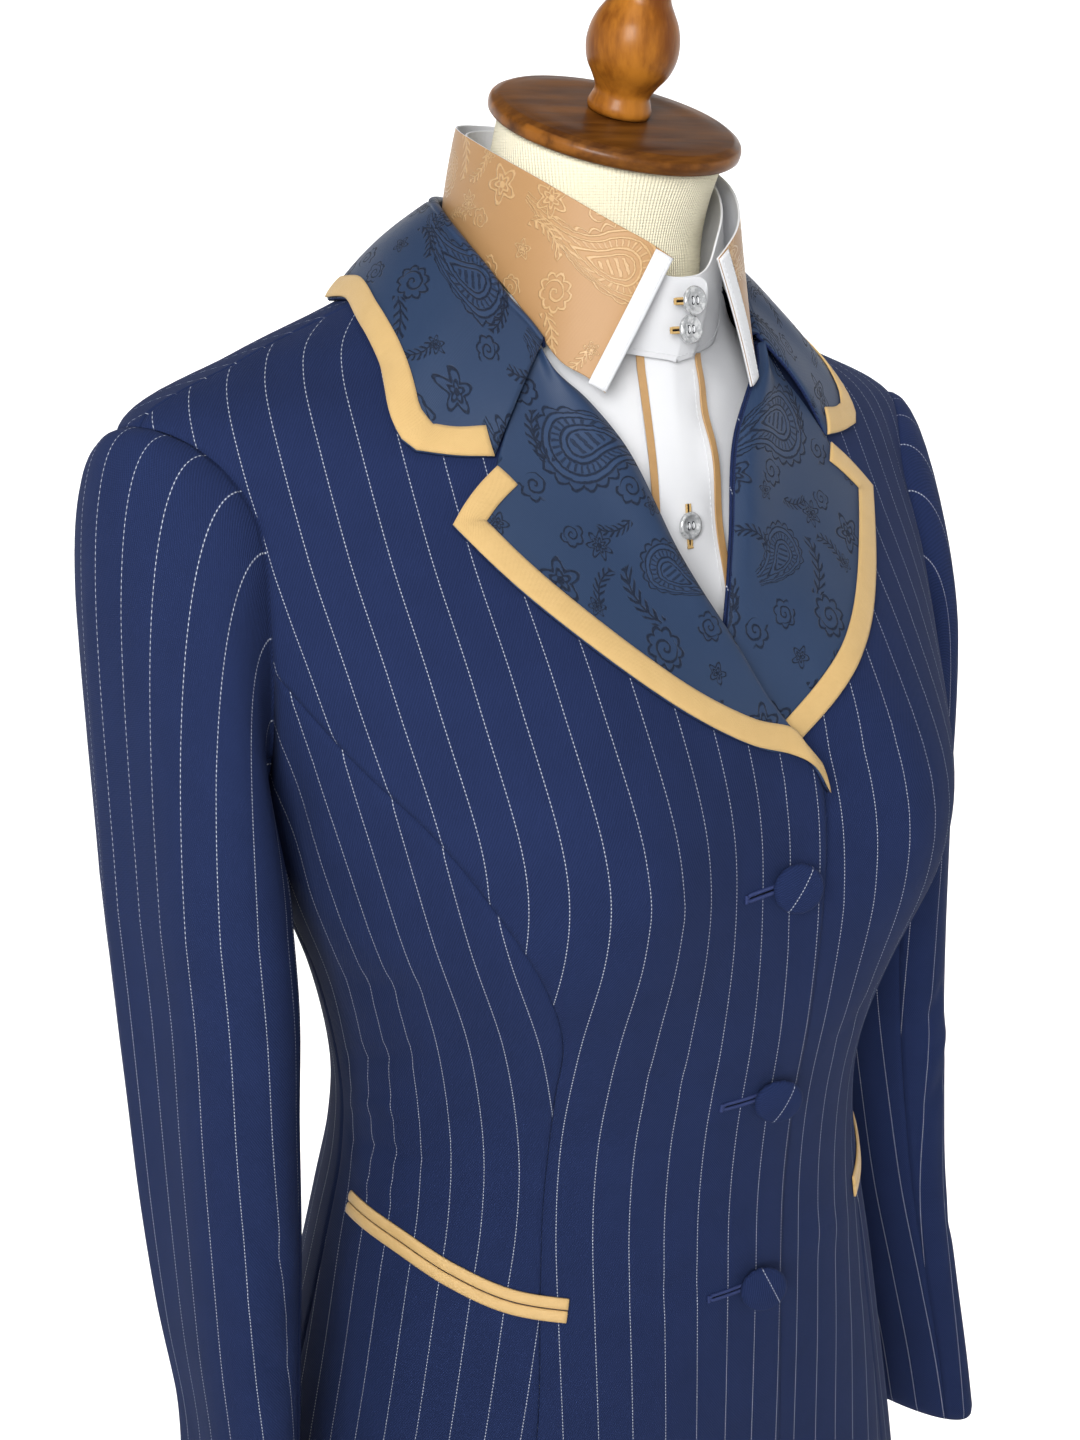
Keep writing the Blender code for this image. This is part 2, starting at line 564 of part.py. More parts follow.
def shirt(white, gold, pearl):
    neck = [(2.1, 13.3), (20, 13.65), (45, 14.85), (70, 15.5), (SHOULDER - 5, 15.8)]
    for side, word in ((-1, "right"), (1, "left")):
        outer = np.concatenate([
            line(np.vstack([edge([(97, 1.0), (97, 4), (97, 7)], side),
                            armhole(186, 186, 1, side)]), 10),
            armhole(186, 0, 11, side)[1:],
            line(edge([(SHOULDER - 0.3, 12.05), (SHOULDER - 0.3, 15.8)], side), 5)[1:]])
        n = len(outer)
        rows = np.interp(np.linspace(0, 1, n - 6), [0, 0.4, 1], [1.0, 7.6, 13.3])
        middle = edge_x([(side * np.interp(s, [11, 13.3], [0.6, 1.4]), s) for s in rows])
        inner = np.concatenate([middle, line(edge(neck, side), 7)[1:]])
        u = np.linspace(0, 1, 7)[None, :, None] ** 1.3
        g = inner[:, None] * (1 - u) + outer[:, None] * u
        shell("shirt_front_" + word, chest(g[..., 0], g[..., 1], 0.0),
              chest(g[..., 0], g[..., 1], -SHIRT_WALL), white)
    ends = []
    for side in (-1, 1):
        ends.append(np.concatenate([
            line(np.vstack([edge([(97.4, 1.0), (97.4, 4), (97.4, 7)], side),
                            armhole(186.6, 186.6, 1, side)]), 9),
            armhole(186.6, 358.5, 10, side)[1:],
            line(edge([(SHOULDER + 0.3, 12.05), (SHOULDER + 0.3, 15.8)], side), 5)[1:]]))
    a, b = ends
    b = b.copy()
    b[:, 0] -= 2 * math.pi
    panel("shirt_back", a, b, 9, white, 0.0, SHIRT_WALL)

    rows = np.concatenate([np.linspace(1.0, 7.0, 6), np.linspace(7.8, 13.3, 14)])
    strip_l = np.stack([th_of_x(-17.0, rows), rows], -1)
    strip_r = np.stack([th_of_x(17.0, rows), rows], -1)
    panel("placket", strip_l, strip_r, 4, white, 2.7, 0.9)
    for side, word in ((-1, "right"), (1, "left")):
        p = np.stack([th_of_x(side * 15.2, rows), rows], -1)
        q = np.stack([th_of_x(side * 18.6, rows), rows], -1)
        panel("piping_" + word, p, q, 2, gold, 3.7, 0.6)

    n = 39
    q = np.linspace(0, 1, n)
    ang = 10.5 - 381 * q
    wrap = (ang + 180) % 360 - 180
    side = np.where(wrap > 0, 1.0, -1.0)
    top = smooth(STAND_TOP, np.abs(wrap)) * np.stack([-side * 0.965, 0.965 * np.ones(n), np.ones(n)], -1)
    top[0, 2] -= 7
    top[-1, 2] -= 7
    s = smooth(STAND_FOOT, np.abs(wrap))[:, 0]
    foot = chest(np.radians(wrap), s + 0.06, 1.5)
    axis = np.stack([top[:, 0], top[:, 1] - 2, np.zeros(n)], -1)
    axis /= np.linalg.norm(axis, axis=-1, keepdims=True)
    slip = (2.0 - 4.0 * q)[:, None] * axis
    grid = np.stack([foot + slip, (foot + top) / 2 + slip + axis * 0.5, top + slip], 1)
    shell("shirt_stand", grid, grid - axis[:, None] * SHIRT_WALL, white)

    n = 15
    fold = line(SHIRT_FOLD, n)
    rim = line(SHIRT_RIM, n)
    m = np.array([-1, 1, 1])
    fold = leaned(np.concatenate([fold, (fold * m)[::-1][1:]]))
    rim = leaned(np.concatenate([rim, (rim * m)[::-1][1:]]))
    on = draped(fold, rim, 0.8)
    i = np.arange(2 * n - 1.0)
    grid = np.stack([on(i, np.full(2 * n - 1, u)) for u in np.linspace(0, 1, 5)], 1)
    mid = (fold + rim) / 2
    away = np.repeat((mid * np.array([0.3, 0.3, 1]))[:, None], 5, 1)
    shell("shirt_collar", grid, wall(grid, SHIRT_WALL, away), gold)
    for first, word, turn in ((0.0, "right", -1), (2 * n - 2.0, "left", 1)):
        p = np.stack([np.full(7, first), np.linspace(0.01, 0.99, 7)], -1)
        near = p + np.array([[0.01 if first == 0 else -0.01, 0]])
        far = inset(on, near, 8.0, turn)
        g = between(near, far, 3)
        shell("collar_edge_" + word, on(g[..., 0], g[..., 1], 1.1), on(g[..., 0], g[..., 1], 0.4), white)

    rows = [(SHIRT_BUTTON_R - 1.2, 0), (SHIRT_BUTTON_R, 0.8), (SHIRT_BUTTON_R, 1.7),
            (SHIRT_BUTTON_R - 0.8, 2.4), (SHIRT_BUTTON_R - 2.0, 2.0), (1.0, 1.9)]
    for k, (y, z) in enumerate(((-64.2, 1418.2), (-62.2, 1406.8)), 1):
        lathe("shirt_button_%d" % k, rows, pearl, (0, y, z), 82, 14)
    s = 11.08
    out = chest(0.0, s, 2.0) - chest(0.0, s, 1.0)
    tilt = math.degrees(math.atan2(-out[1], out[2]))
    lathe("shirt_button_3", rows, pearl, chest(0.0, s, 3.1), tilt, 14)


# height, middle y, radius, lean in degrees of the form's neck
NECK_RINGS = [(1424, 3.5, 46.5, 3), (1450, 2.0, 47.0, 11), (1466, -3.5, 46.8, 16),
              (1482.3, -10.8, 47.5, 20)]


def dress_form(jersey, wood):
    t = np.radians(np.arange(26) * 360 / 26)
    rings = []
    for s in np.concatenate([np.linspace(0.85, 10.5, 10), np.linspace(11.3, 14.5, 6)]):
        deep = np.interp(s, [7, 9, 11.5, 13, 15], [-5.4, -9.0, -9.0, -5.4, -2.6])
        rings.append(chest(t, np.full(26, s), deep))
    for z, y, r, tilt in NECK_RINGS:
        a = math.radians(tilt)
        rings.append(np.stack([r * np.sin(t) - 1.0, y - r * np.cos(t) * math.cos(a),
                               z - r * np.cos(t) * math.sin(a)], -1))
    stack("form_body", rings, jersey)
    at = (0, -13.5, 1490)
    lathe("neck_cap", [(44, -8.0), (51.5, -7.6), (53, -5.4), (53, -3), (51.5, -0.6), (49.5, 0), (14, 0.4)],
          wood, at, NECK_TILT, 28)
    lathe("finial", [(12.8, 0.8), (13, 4), (11.5, 9), (14, 14), (18, 20), (19, 28), (18, 36), (14.5, 42),
                     (11.5, 46), (11, 52), (12.5, 58), (15, 66), (15.5, 74), (13, 82), (8, 88), (3, 90)],
          wood, at, NECK_TILT, 14)
    low = rings[0][:, 2].min()
    lathe("pole", [(POLE_R, BASE_H + 0.3), (POLE_R, low - 0.4)], wood, (0, 4, 0), 0, 20)
    lathe("base", [(BASE_R - 4, 0), (BASE_R, 4), (BASE_R, 12), (BASE_R - 6, 18), (BASE_R - 40, 22),
                   (60, 26), (34, BASE_H), (20, BASE_H)], wood, (0, 0, 0), 0, 26)


def main():
    for ob in list(bpy.data.objects):
        bpy.data.objects.remove(ob, do_unlink=True)
    navy = material("navy_wool", (0.022, 0.034, 0.115), 0.85)
    silk = material("navy_satin", (0.030, 0.060, 0.170), 0.45)
    gold = material("gold_cloth", (0.76, 0.50, 0.20), 0.65)
    white = material("white_poplin", (0.86, 0.87, 0.88), 0.7)
    satin = material("gold_satin", (0.66, 0.40, 0.18), 0.45)
    pearl = material("grey_pearl", (0.45, 0.46, 0.48), 0.25, 0.3)
    jersey = material("cream_jersey", (0.74, 0.68, 0.52), 0.9)
    wood = material("brown_wood", (0.26, 0.10, 0.030), 0.3)
    jacket_body(navy)
    sleeves(navy)
    lapels(silk, gold)
    collar(silk, gold)
    pockets(gold)
    buttons(navy)
    shirt(white, satin, pearl)
    dress_form(jersey, wood)


main()
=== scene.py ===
# %% [markdown]
# # Showmanship suit on a dress form
#
# A showmanship suit is the fitted jacket and shirt that a handler wears in the show ring.  The
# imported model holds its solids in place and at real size.  This lesson puts a finer piece on each
# of them: shape and collision stay in the model, and cloth, stitches and colour come from here.
# Lengths in the tables are millimetres.  +Z is up, the suit faces -Y, the wearer's right is -X.

import math

import bmesh
import bpy
import numpy as np
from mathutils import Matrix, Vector


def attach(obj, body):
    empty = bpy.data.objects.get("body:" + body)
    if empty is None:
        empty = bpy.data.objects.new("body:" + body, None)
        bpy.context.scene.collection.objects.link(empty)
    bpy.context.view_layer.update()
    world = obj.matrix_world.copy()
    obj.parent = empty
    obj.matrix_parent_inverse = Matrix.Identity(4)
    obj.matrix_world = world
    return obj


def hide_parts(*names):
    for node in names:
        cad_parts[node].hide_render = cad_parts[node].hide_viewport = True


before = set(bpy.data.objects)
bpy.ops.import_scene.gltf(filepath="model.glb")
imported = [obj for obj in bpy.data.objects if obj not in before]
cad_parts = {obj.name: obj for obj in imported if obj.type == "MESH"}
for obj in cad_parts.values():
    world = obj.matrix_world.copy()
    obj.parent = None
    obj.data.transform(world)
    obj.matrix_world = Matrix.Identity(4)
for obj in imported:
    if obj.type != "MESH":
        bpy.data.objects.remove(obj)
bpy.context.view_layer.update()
MM = 0.001
SIDES = ((-1, "right"), (1, "left"))

# %% [markdown]
# ## Smooth lines from short tables
# A tailor draws a pattern from a few measured points and a curved ruler.  Bezier curves set by
# hand would do it too.  A cubic through the rows of a table gives the same line, and keeps every
# size in sight as a number.

# %% Lengths, directions and cubics
FINE = 6              # how many times finer than the solids the cloth is meshed


def unit(v):
    """Vectors divided by their own length."""
    return v / np.maximum(np.linalg.norm(v, axis=-1, keepdims=True), 1e-12)


def circle(n):
    """n angles evenly round a circle."""
    return np.arange(n) * 2 * np.pi / n


def run(p, axis=0):
    """Length walked along a grid: the running sum of distances between neighbours."""
    steps = np.diff(p, axis=axis, prepend=np.take(p, [0], axis))
    return np.cumsum(np.linalg.norm(steps, axis=-1), axis)


def power(a, p):
    """|a| to the power p, with the sign of a."""
    return np.sign(a) * np.abs(a) ** p


def smooth(table, t):
    """Cubic through the rows of a table whose first column is the knot."""
    tab = np.asarray(table, float)
    k, v = tab[:, 0], tab[:, 1:]
    h = np.diff(k)[:, None]
    d = np.diff(v, axis=0) / h
    m = np.vstack([d[:1], (d[:-1] * h[1:] + d[1:] * h[:-1]) / (h[1:] + h[:-1]), d[-1:]])
    t = np.clip(np.asarray(t, float), k[0], k[-1])
    i = np.clip(np.searchsorted(k, t, side="right") - 1, 0, len(k) - 2)
    g = (k[i + 1] - k[i])[..., None]
    u = (t - k[i])[..., None] / g
    return ((2 * u**3 - 3 * u**2 + 1) * v[i] + (u**3 - 2 * u**2 + u) * g * m[i]
            + (3 * u**2 - 2 * u**3) * v[i + 1] + (u**3 - u**2) * g * m[i + 1])


def fine(n):
    """Count of points once every step between n points is cut in FINE."""
    return (n - 1) * FINE + 1


def line(table, n):
    """n points along a table of rows, evenly spread over its own length."""
    tab = np.asarray(table, float)
    k = run(tab * (np.array([3.0, 1.0]) if tab.shape[1] == 2 else 1.0))
    return smooth(np.column_stack([k, tab]), np.linspace(0, k[-1], n))


def broken(parts, counts):
    """Several lines end to end, sharing their corner points."""
    drawn = [line(p, fine(n)) for p, n in zip(parts, counts)]
    return np.concatenate([drawn[0]] + [d[1:] for d in drawn[1:]])


def spread(cols):
    """Shares 0 to 1, closer together towards both borders: t - 0.13 sin(2 pi t)."""
    t = np.linspace(0, 1, cols)
    return t - 0.13 * np.sin(2 * np.pi * t)


def between(a, b, share):
    """Grid from line a to line b: a * (1 - share) + b * share."""
    u = share[None, :, None]
    return a[:, None] * (1 - u) + b[:, None] * u


def pair(g):
    """The two coordinates of a grid on a surface."""
    return g[..., 0], g[..., 1]


print("17 points become", fine(17), "and start", np.round(spread(17)[:3], 3))

# %% [markdown]
# ## The trunk
# A suit is cut to a body: round at the bust, narrow at the waist, flat between the shoulder
# blades.  The body could be sculpted, but then no number would say where the waist is.  Here each
# row of a table is one level, closed to a ring by powers of sine and cosine.  An angle from the
# front and a station of the table name any point, so every seam is a line in those two.

# %% Levels of the trunk
LEAN = 0.033          # wearer's right shoulder sits higher by this slope

# station, height, half width, front depth, back depth, front power, back power, y shift
BODY = np.array([
    (0, 775, 185, 136, 148, 0.92, 0.92, 4),
    (1, 830, 175, 132, 141, 0.92, 0.92, 3),
    (2, 890, 163, 128, 134, 0.93, 0.93, 2),
    (3, 950, 150, 125, 129, 0.96, 0.96, 0),
    (4, 1000, 139, 124, 123, 1.00, 1.00, 0),
    (5, 1040, 131, 123, 113, 1.00, 1.00, 0),
    (6, 1080, 130, 126, 107, 1.00, 1.00, 0),
    (7, 1130, 140, 133, 104, 0.96, 0.98, 0),
    (8, 1180, 158, 134, 103, 0.91, 0.94, 0),
    (9, 1230, 172, 132, 107, 0.90, 0.91, 3),
    (10, 1280, 183, 119, 114, 0.95, 0.88, 9),
    (11, 1325, 196, 102, 110, 1.08, 0.88, 19),
    (12, 1366, 203, 90, 88, 1.40, 0.90, 24),
    (13, 1391, 151, 94, 72, 1.45, 0.95, 34),
    (14, 1408, 108, 99, 62, 1.25, 1.00, 40),
    (15, 1425, 80, 80, 62, 1.00, 1.00, 22),
    (16, 1438, 62, 61, 50, 1.00, 1.00, 11),
], float)


def leaned(p):
    """Points lowered by LEAN times x, fading in over the chest."""
    q = np.array(p, float)
    q[..., 2] -= LEAN * q[..., 0] * np.clip((q[..., 2] - 1180) / 160, 0, 1)
    return q


def shape(th, s, hollow=0.0):
    """x = width sin^p, y = shift - depth cos^p, two busts out, a hollow between them in."""
    z, w, f, b, pf, pb, y0 = np.moveaxis(smooth(BODY, s), -1, 0)
    cs = np.cos(th)
    p = np.where(cs > 0, pf, pb)
    x = w * power(np.sin(th), p)
    y = y0 - np.where(cs > 0, f, b) * power(cs, p)
    bust = 20 * np.exp(-((np.abs(x) - 86) / 48) ** 2 - ((z - 1200) / 62) ** 2)
    y = y - bust * (cs > 0) * np.clip(cs * 2.5, 0, 1)
    y = y + hollow * 30 * np.exp(-(x / 65) ** 2 - ((z - 1270) / 55) ** 2) * (cs > 0)
    return leaned(np.stack([x, y, z + 0 * x], -1))


def surface(th, s, off, hollow=0.0):
    """Trunk point moved out along its normal by off; the normal is across x up."""
    th, s, off = np.broadcast_arrays(np.asarray(th, float), np.clip(s, 0.0, 15.98), off)
    e = 2e-3
    across = shape(th + e, s, hollow) - shape(th - e, s, hollow)
    up = (shape(th, np.minimum(s + 5 * e, 16), hollow)
          - shape(th, np.maximum(s - 5 * e, 0), hollow))
    out = unit(np.cross(across, up))
    return shape(th, s, hollow) + out * np.asarray(off, float)[..., None]


for word, station in (("waist", 5.5), ("bust", 8.6), ("hem", 0.0)):
    level = shape(np.linspace(0, 2 * np.pi, 361), station)
    print(word, "round, mm:", round(float(run(level)[-1])))

# %% [markdown]
# ## Creases
# Cloth that is pulled in at a waist puckers, and a sleeve folds where the arm bends.  Cloth
# simulation would place such folds where it likes.  Here each one is a row of a table, a soft
# trough or ridge moved along the normal, so it lies where the photograph has it and every layer
# of the garment follows it.

# %% Creases of the trunk, and the jacket's and shirt's surfaces
CREASE_GAIN = 1.35
MM_PER_DEGREE, MM_PER_STATION = 2.45, 46.0

# from angle, station, to angle, station, half width mm, height mm
CREASES = [
    (-66, 6.9, -92, 6.2, 4.5, -1.6), (-70, 6.2, -96, 5.7, 4.0, 1.3),
    (-68, 5.6, -94, 5.3, 4.5, -1.5), (-72, 5.1, -90, 4.9, 4.0, 1.0),
    (-60, 7.6, -84, 7.2, 6.0, -1.2), (-12, 6.5, -34, 6.9, 7.0, -0.8),
    (-10, 4.3, -30, 4.0, 8.0, -0.9), (-14, 8.2, -36, 8.6, 8.0, 0.8),
    (-74, 9.6, -84, 8.2, 9.0, -1.8), (66, 6.8, 90, 6.2, 4.5, -1.4),
    (70, 5.9, 95, 5.5, 4.5, 1.2), (66, 5.3, 92, 5.1, 5.0, -1.3),
    (16, 6.4, 36, 6.8, 7.0, -0.8), (14, 4.2, 34, 3.8, 8.0, 0.8),
    (72, 9.5, 82, 8.1, 9.0, -1.6), (120, 6.4, 160, 6.1, 6.0, -1.4),
    (128, 5.7, 158, 5.6, 6.0, 1.3), (-122, 6.3, -158, 6.2, 6.0, -1.3),
    (-126, 5.6, -160, 5.5, 7.0, 1.2), (138, 10.9, 128, 8.4, 11.0, -1.7),
    (-138, 10.8, -127, 8.6, 11.0, -1.6), (30, 0.2, 34, 3.0, 16.0, 1.6),
    (-34, 0.1, -30, 2.6, 15.0, -1.5), (70, 0.1, 72, 2.8, 15.0, -1.7),
    (-74, 0.1, -70, 2.4, 16.0, 1.6), (150, 0.1, 152, 3.0, 18.0, 1.8),
    (-150, 0.1, -153, 2.7, 18.0, -1.6), (112, 0.1, 110, 2.2, 14.0, -1.4),
    (-116, 0.1, -112, 2.5, 14.0, 1.5), (-58, 12.3, -64, 10.4, 10.0, -1.0),
    (56, 12.3, 63, 10.5, 10.0, -1.0),
]


def crease_field(p, q, table, scale_p, scale_q):
    """Sum over the rows of height * exp(-(distance / width)^2) * sin(share of the length)^0.8."""
    total = np.zeros(np.broadcast(p, q).shape)
    for p0, q0, p1, q1, wide, high in table:
        ax, ay = (p1 - p0) * scale_p, (q1 - q0) * scale_q
        dx, dy = (p - p0) * scale_p, (q - q0) * scale_q
        t = np.clip((dx * ax + dy * ay) / (ax * ax + ay * ay), 0, 1)
        wave = np.sin(4.0 * t + p0 + q0)
        side = (-dx * ay + dy * ax) / math.hypot(ax, ay) + wave
        away = np.where((t > 0) & (t < 1), np.abs(side), np.hypot(dx - t * ax, dy - t * ay))
        total = total + high * np.exp(-(away / wide) ** 2) * np.sin(np.pi * t) ** 0.8
    return total


def body(th, s, off=0.0):
    """Jacket surface: the trunk with its creases."""
    th, s = np.asarray(th, float), np.asarray(s, float)
    folds = crease_field(np.degrees(th), s, CREASES, MM_PER_DEGREE, MM_PER_STATION)
    return surface(th, s, off + CREASE_GAIN * folds)


def chest(th, s, off=0.0):
    """Shirt surface: under the jacket, and hollow between the busts."""
    deep = np.interp(s, [0, 11.5, 13.3, 15, 16], [-11.0, -9.5, -9.5, -14.5, -13.5])
    return surface(th, s, off + deep, 1.0)


print("creases on the trunk:", len(CREASES))

# %% [markdown]
# ## Lines on the trunk
# Seams and edges are drawn by angle and station, or by x and station where the photograph shows
# them from the front.  The armhole is an oval in the side view, so its points are found by
# turning y and height back into angle and station.

# %% Seam lines and the armhole
ARMHOLE_MID = (22.0, 1290.0)
ARMHOLE_HALF = (52.0, 78.0)


def th_of_x(x, s):
    """Angle with this x: arcsin of (x / half width) to the power 1 / p."""
    row = smooth(BODY, s)
    share = np.clip(np.asarray(x, float) / row[..., 1], -1, 1)
    return np.arcsin(power(share, 1 / row[..., 4]))


def at_side(y, z, side):
    """Angle and station of the trunk's side point with this y and height."""
    s = np.interp(z, BODY[:, 1], BODY[:, 0])
    for _ in range(6):
        s = s + (z - smooth(BODY, s)[..., 0]) / 40.0
    f, b, pf, pb, y0 = np.moveaxis(smooth(BODY, s)[..., 2:], -1, 0)
    q = y0 - np.asarray(y, float)
    c = np.where(q > 0, power(np.clip(q / f, -1, 1), 1 / pf),
                 power(np.clip(q / b, -1, 1), 1 / pb))
    return side * np.arccos(np.clip(c, -1, 1)), s


def armhole(a, side, grow=0.0):
    """Armhole points at angles a; 0 is the shoulder tip, 90 the front, 180 the underarm."""
    a = np.radians(a)
    return np.stack(at_side(ARMHOLE_MID[0] - (ARMHOLE_HALF[0] + grow) * np.sin(a),
                            ARMHOLE_MID[1] + (ARMHOLE_HALF[1] + grow) * np.cos(a), side), -1)


def arc(a0, a1, n, side):
    """n armhole points from angle a0 to a1, without the first."""
    return armhole(np.linspace(a0, a1, n)[1:], side)


def edge(rows, side=1):
    """Rows of degrees and station, turned to radians on one side."""
    tab = np.array(rows, float)
    tab[:, 0] = np.radians(tab[:, 0]) * side
    return tab


def edge_x(rows, side=1):
    """Rows of x and station, turned to angle and station."""
    tab = np.array(rows, float)
    tab[:, 0] = th_of_x(tab[:, 0] * side, tab[:, 1])
    return tab


def to_armhole(rows, meets, side):
    """Seam rows that end on the armhole at angle meets."""
    return np.vstack([edge(rows, side), armhole(np.array([meets]), side)])


hole = surface(*pair(armhole(np.arange(361.0), 1)), 0.0)
print("armhole round, mm:", round(float(run(hole)[-1])))

# %% [markdown]
# ## Cloth coordinates
# A stripe is straight in the flat cloth, and curves only because the panel does.  The UV map is
# therefore the panel unrolled: millimetres round the body from a grain line, and millimetres up
# along it.  Two tables of walked lengths give both without unwrapping.

# %% Unrolled trunk
TURNS = np.radians(np.arange(-220.0, 221.0))
STEPS = np.linspace(0, 16, 161)
RINGS = shape(TURNS[:, None], STEPS[None])
RISE = run(RINGS, 1)
ROUND = run(RINGS, 0)
ROUND = ROUND - ROUND[len(TURNS) // 2]


def look(table, th, s):
    """Bilinear reading of a table over TURNS and STEPS."""
    i = np.clip((th - TURNS[0]) / (TURNS[1] - TURNS[0]), 0, len(TURNS) - 1.001)
    j = np.clip(s / STEPS[1], 0, len(STEPS) - 1.001)
    a, b = i.astype(int), j.astype(int)
    u, v = i - a, j - b
    return ((table[a, b] * (1 - u) + table[a + 1, b] * u) * (1 - v)
            + (table[a, b + 1] * (1 - u) + table[a + 1, b + 1] * u) * v)


def grain(g, at):
    """Millimetres round from the grain line at this angle, and up along it."""
    th, s = pair(g)
    ref = np.full(th.shape, math.radians(at))
    return np.stack([look(ROUND, th, s) - look(ROUND, ref, s), look(RISE, ref, s)], -1)


def strip_uv(p):
    """Cloth coordinates of a narrow strip: across it and along it."""
    across = run(p, 1)
    along = np.cumsum(np.linalg.norm(np.diff(p, axis=0, prepend=p[:1]), axis=-1).mean(1))
    return np.stack([across, along[:, None] * np.ones_like(across)], -1)


print("hem to neck at the back, mm:", round(float(RISE[400, -1])))

# %% [markdown]
# ## Meshes
# A garment's cloth is thin but not a film.  A Solidify modifier would thicken it; here each piece
# is a grid of outer points and a grid of inner points joined round the rim, because then seams
# can be rolled in a little and the inner side can carry another material.

# %% Pieces from grids
WALL = 1.6            # jacket cloth
SLIM = 0.0101         # least side of a sheet, metres
PIECES = {}


def mesh_object(name, verts, faces, mats, uv=None, index=None):
    """Smooth mesh piece in millimetres, its normals out, riding on the one body."""
    me = bpy.data.meshes.new(name)
    me.from_pydata((np.asarray(verts) * MM).tolist(), [], faces)
    for m in mats:
        me.materials.append(m)
    if index is not None:
        me.polygons.foreach_set("material_index", np.asarray(index, np.int32))
    me.polygons.foreach_set("use_smooth", np.ones(len(me.polygons), bool))
    if uv is not None:
        at = np.empty(len(me.loops), np.int32)
        me.loops.foreach_get("vertex_index", at)
        layer = me.uv_layers.new(name="cloth")
        layer.data.foreach_set("uv", (np.asarray(uv)[at] * MM).astype(np.float32).ravel())
    bm = bmesh.new()
    bm.from_mesh(me)
    bmesh.ops.recalc_face_normals(bm, faces=bm.faces)
    bm.to_mesh(me)
    bm.free()
    ob = bpy.data.objects.new(name, me)
    bpy.context.scene.collection.objects.link(ob)
    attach(ob, "root")
    PIECES[name] = ob
    return ob


def made(since):
    """Print the pieces made after the first so many, with their triangles."""
    for name, ob in list(PIECES.items())[since:]:
        print("  %-28s %7d triangles" % (name, len(ob.data.loops) - 2 * len(ob.data.polygons)))


def quads(r, c, closed=False):
    """Faces of a grid of r rows and c columns, which may close round."""
    i, j = np.meshgrid(np.arange(r - 1), np.arange(c if closed else c - 1), indexing="ij")
    a = (i * c + j).ravel()
    b = (i * c + (j + 1) % c).ravel()
    return np.stack([a, b, b + c, a + c], -1)


def shell(node, outer, inner, mats, uv):
    """Closed wall between two grids; a second material is on the inside."""
    r, c = outer.shape[:2]
    n = r * c
    top = quads(r, c)
    rim = np.concatenate([np.arange(c), np.arange(1, r) * c + c - 1,
                          (r - 1) * c + np.arange(c - 2, -1, -1), np.arange(r - 2, 0, -1) * c])
    after = np.roll(rim, -1)
    faces = np.concatenate([top, top[:, ::-1] + n, np.stack([rim, rim + n, after + n, after], -1)])
    index = np.zeros(len(faces), int)
    index[len(top):] = len(mats) - 1
    ob = mesh_object("cloth_" + node, np.concatenate([outer.reshape(-1, 3), inner.reshape(-1, 3)]),
                     faces.tolist(), mats, np.concatenate([uv.reshape(-1, 2)] * 2), index)
    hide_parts(node)
    across = max(np.linalg.norm(np.diff(outer, axis=1), axis=-1).sum(1).max() * MM, SLIM)
    along = max(np.linalg.norm(np.diff(outer, axis=0), axis=-1).sum(0).max() * MM, SLIM)
    a, b = outer[1:, 1:] - outer[:-1, :-1], outer[1:, :-1] - outer[:-1, 1:]
    area = 0.5 * np.linalg.norm(np.cross(a, b), axis=-1).sum() * MM * MM
    area = min(max(area, 0.31 * across * along), across * along)
    return ob


def edge_roll(p, depth=0.9, reach=1.4):
    """How far a grid's border is rolled in: -depth * exp(-(distance to the border / reach)^2)."""
    du, dv = run(p, 1), run(p, 0)
    near = np.minimum(np.minimum(du, du[:, -1:] - du), np.minimum(dv, dv[-1:] - dv))
    return -depth * np.exp(-(near / reach) ** 2)


def ring_faces(r, c, start=0):
    """Quads between closed rings, numbered from start."""
    return (quads(r, c, True) + start).tolist()


def rings_mesh(name, rings, mat, uv=None):
    """Solid through closed rings with a fan at each end; it replaces the node after the dash."""
    rings = np.asarray(rings, float)
    r, c = rings.shape[:2]
    verts = np.concatenate([rings.reshape(-1, 3), rings[:1].mean(1), rings[-1:].mean(1)])
    j = np.arange(c)
    low = np.stack([np.full(c, r * c), (j + 1) % c, j], -1)
    top = np.stack([np.full(c, r * c + 1), (r - 1) * c + j, (r - 1) * c + (j + 1) % c], -1)
    if uv is not None:
        uv = np.concatenate([uv.reshape(-1, 2), uv[:1].mean(1), uv[-1:].mean(1)])
    ob = mesh_object(name, verts, ring_faces(r, c) + low.tolist() + top.tolist(), [mat], uv)
    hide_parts(name.split("_", 1)[1])
    return ob


def joined_rings(name, many, mat):
    """One mesh from several stacks of closed rings."""
    faces, n = [], 0
    for rings in many:
        r, c = rings.shape[:2]
        faces += ring_faces(r, c, n)
        faces.append([n + j for j in range(c)][::-1])
        faces.append([n + (r - 1) * c + j for j in range(c)])
        n += r * c
    return mesh_object(name, np.concatenate([m.reshape(-1, 3) for m in many]), faces, [mat])


print("a 3 x 4 grid has", len(quads(3, 4)), "faces")

# %% [markdown]
# ## Shader arithmetic
# A weave is a pattern of threads, and threads are waves.  An image of cloth would show its pixels
# close up, and its joins.  Node arithmetic stays sharp at any distance, so a small class lets
# node outputs be added and multiplied like numbers.

# %% Socket and Pen
FULL_TURN = 2 * math.pi


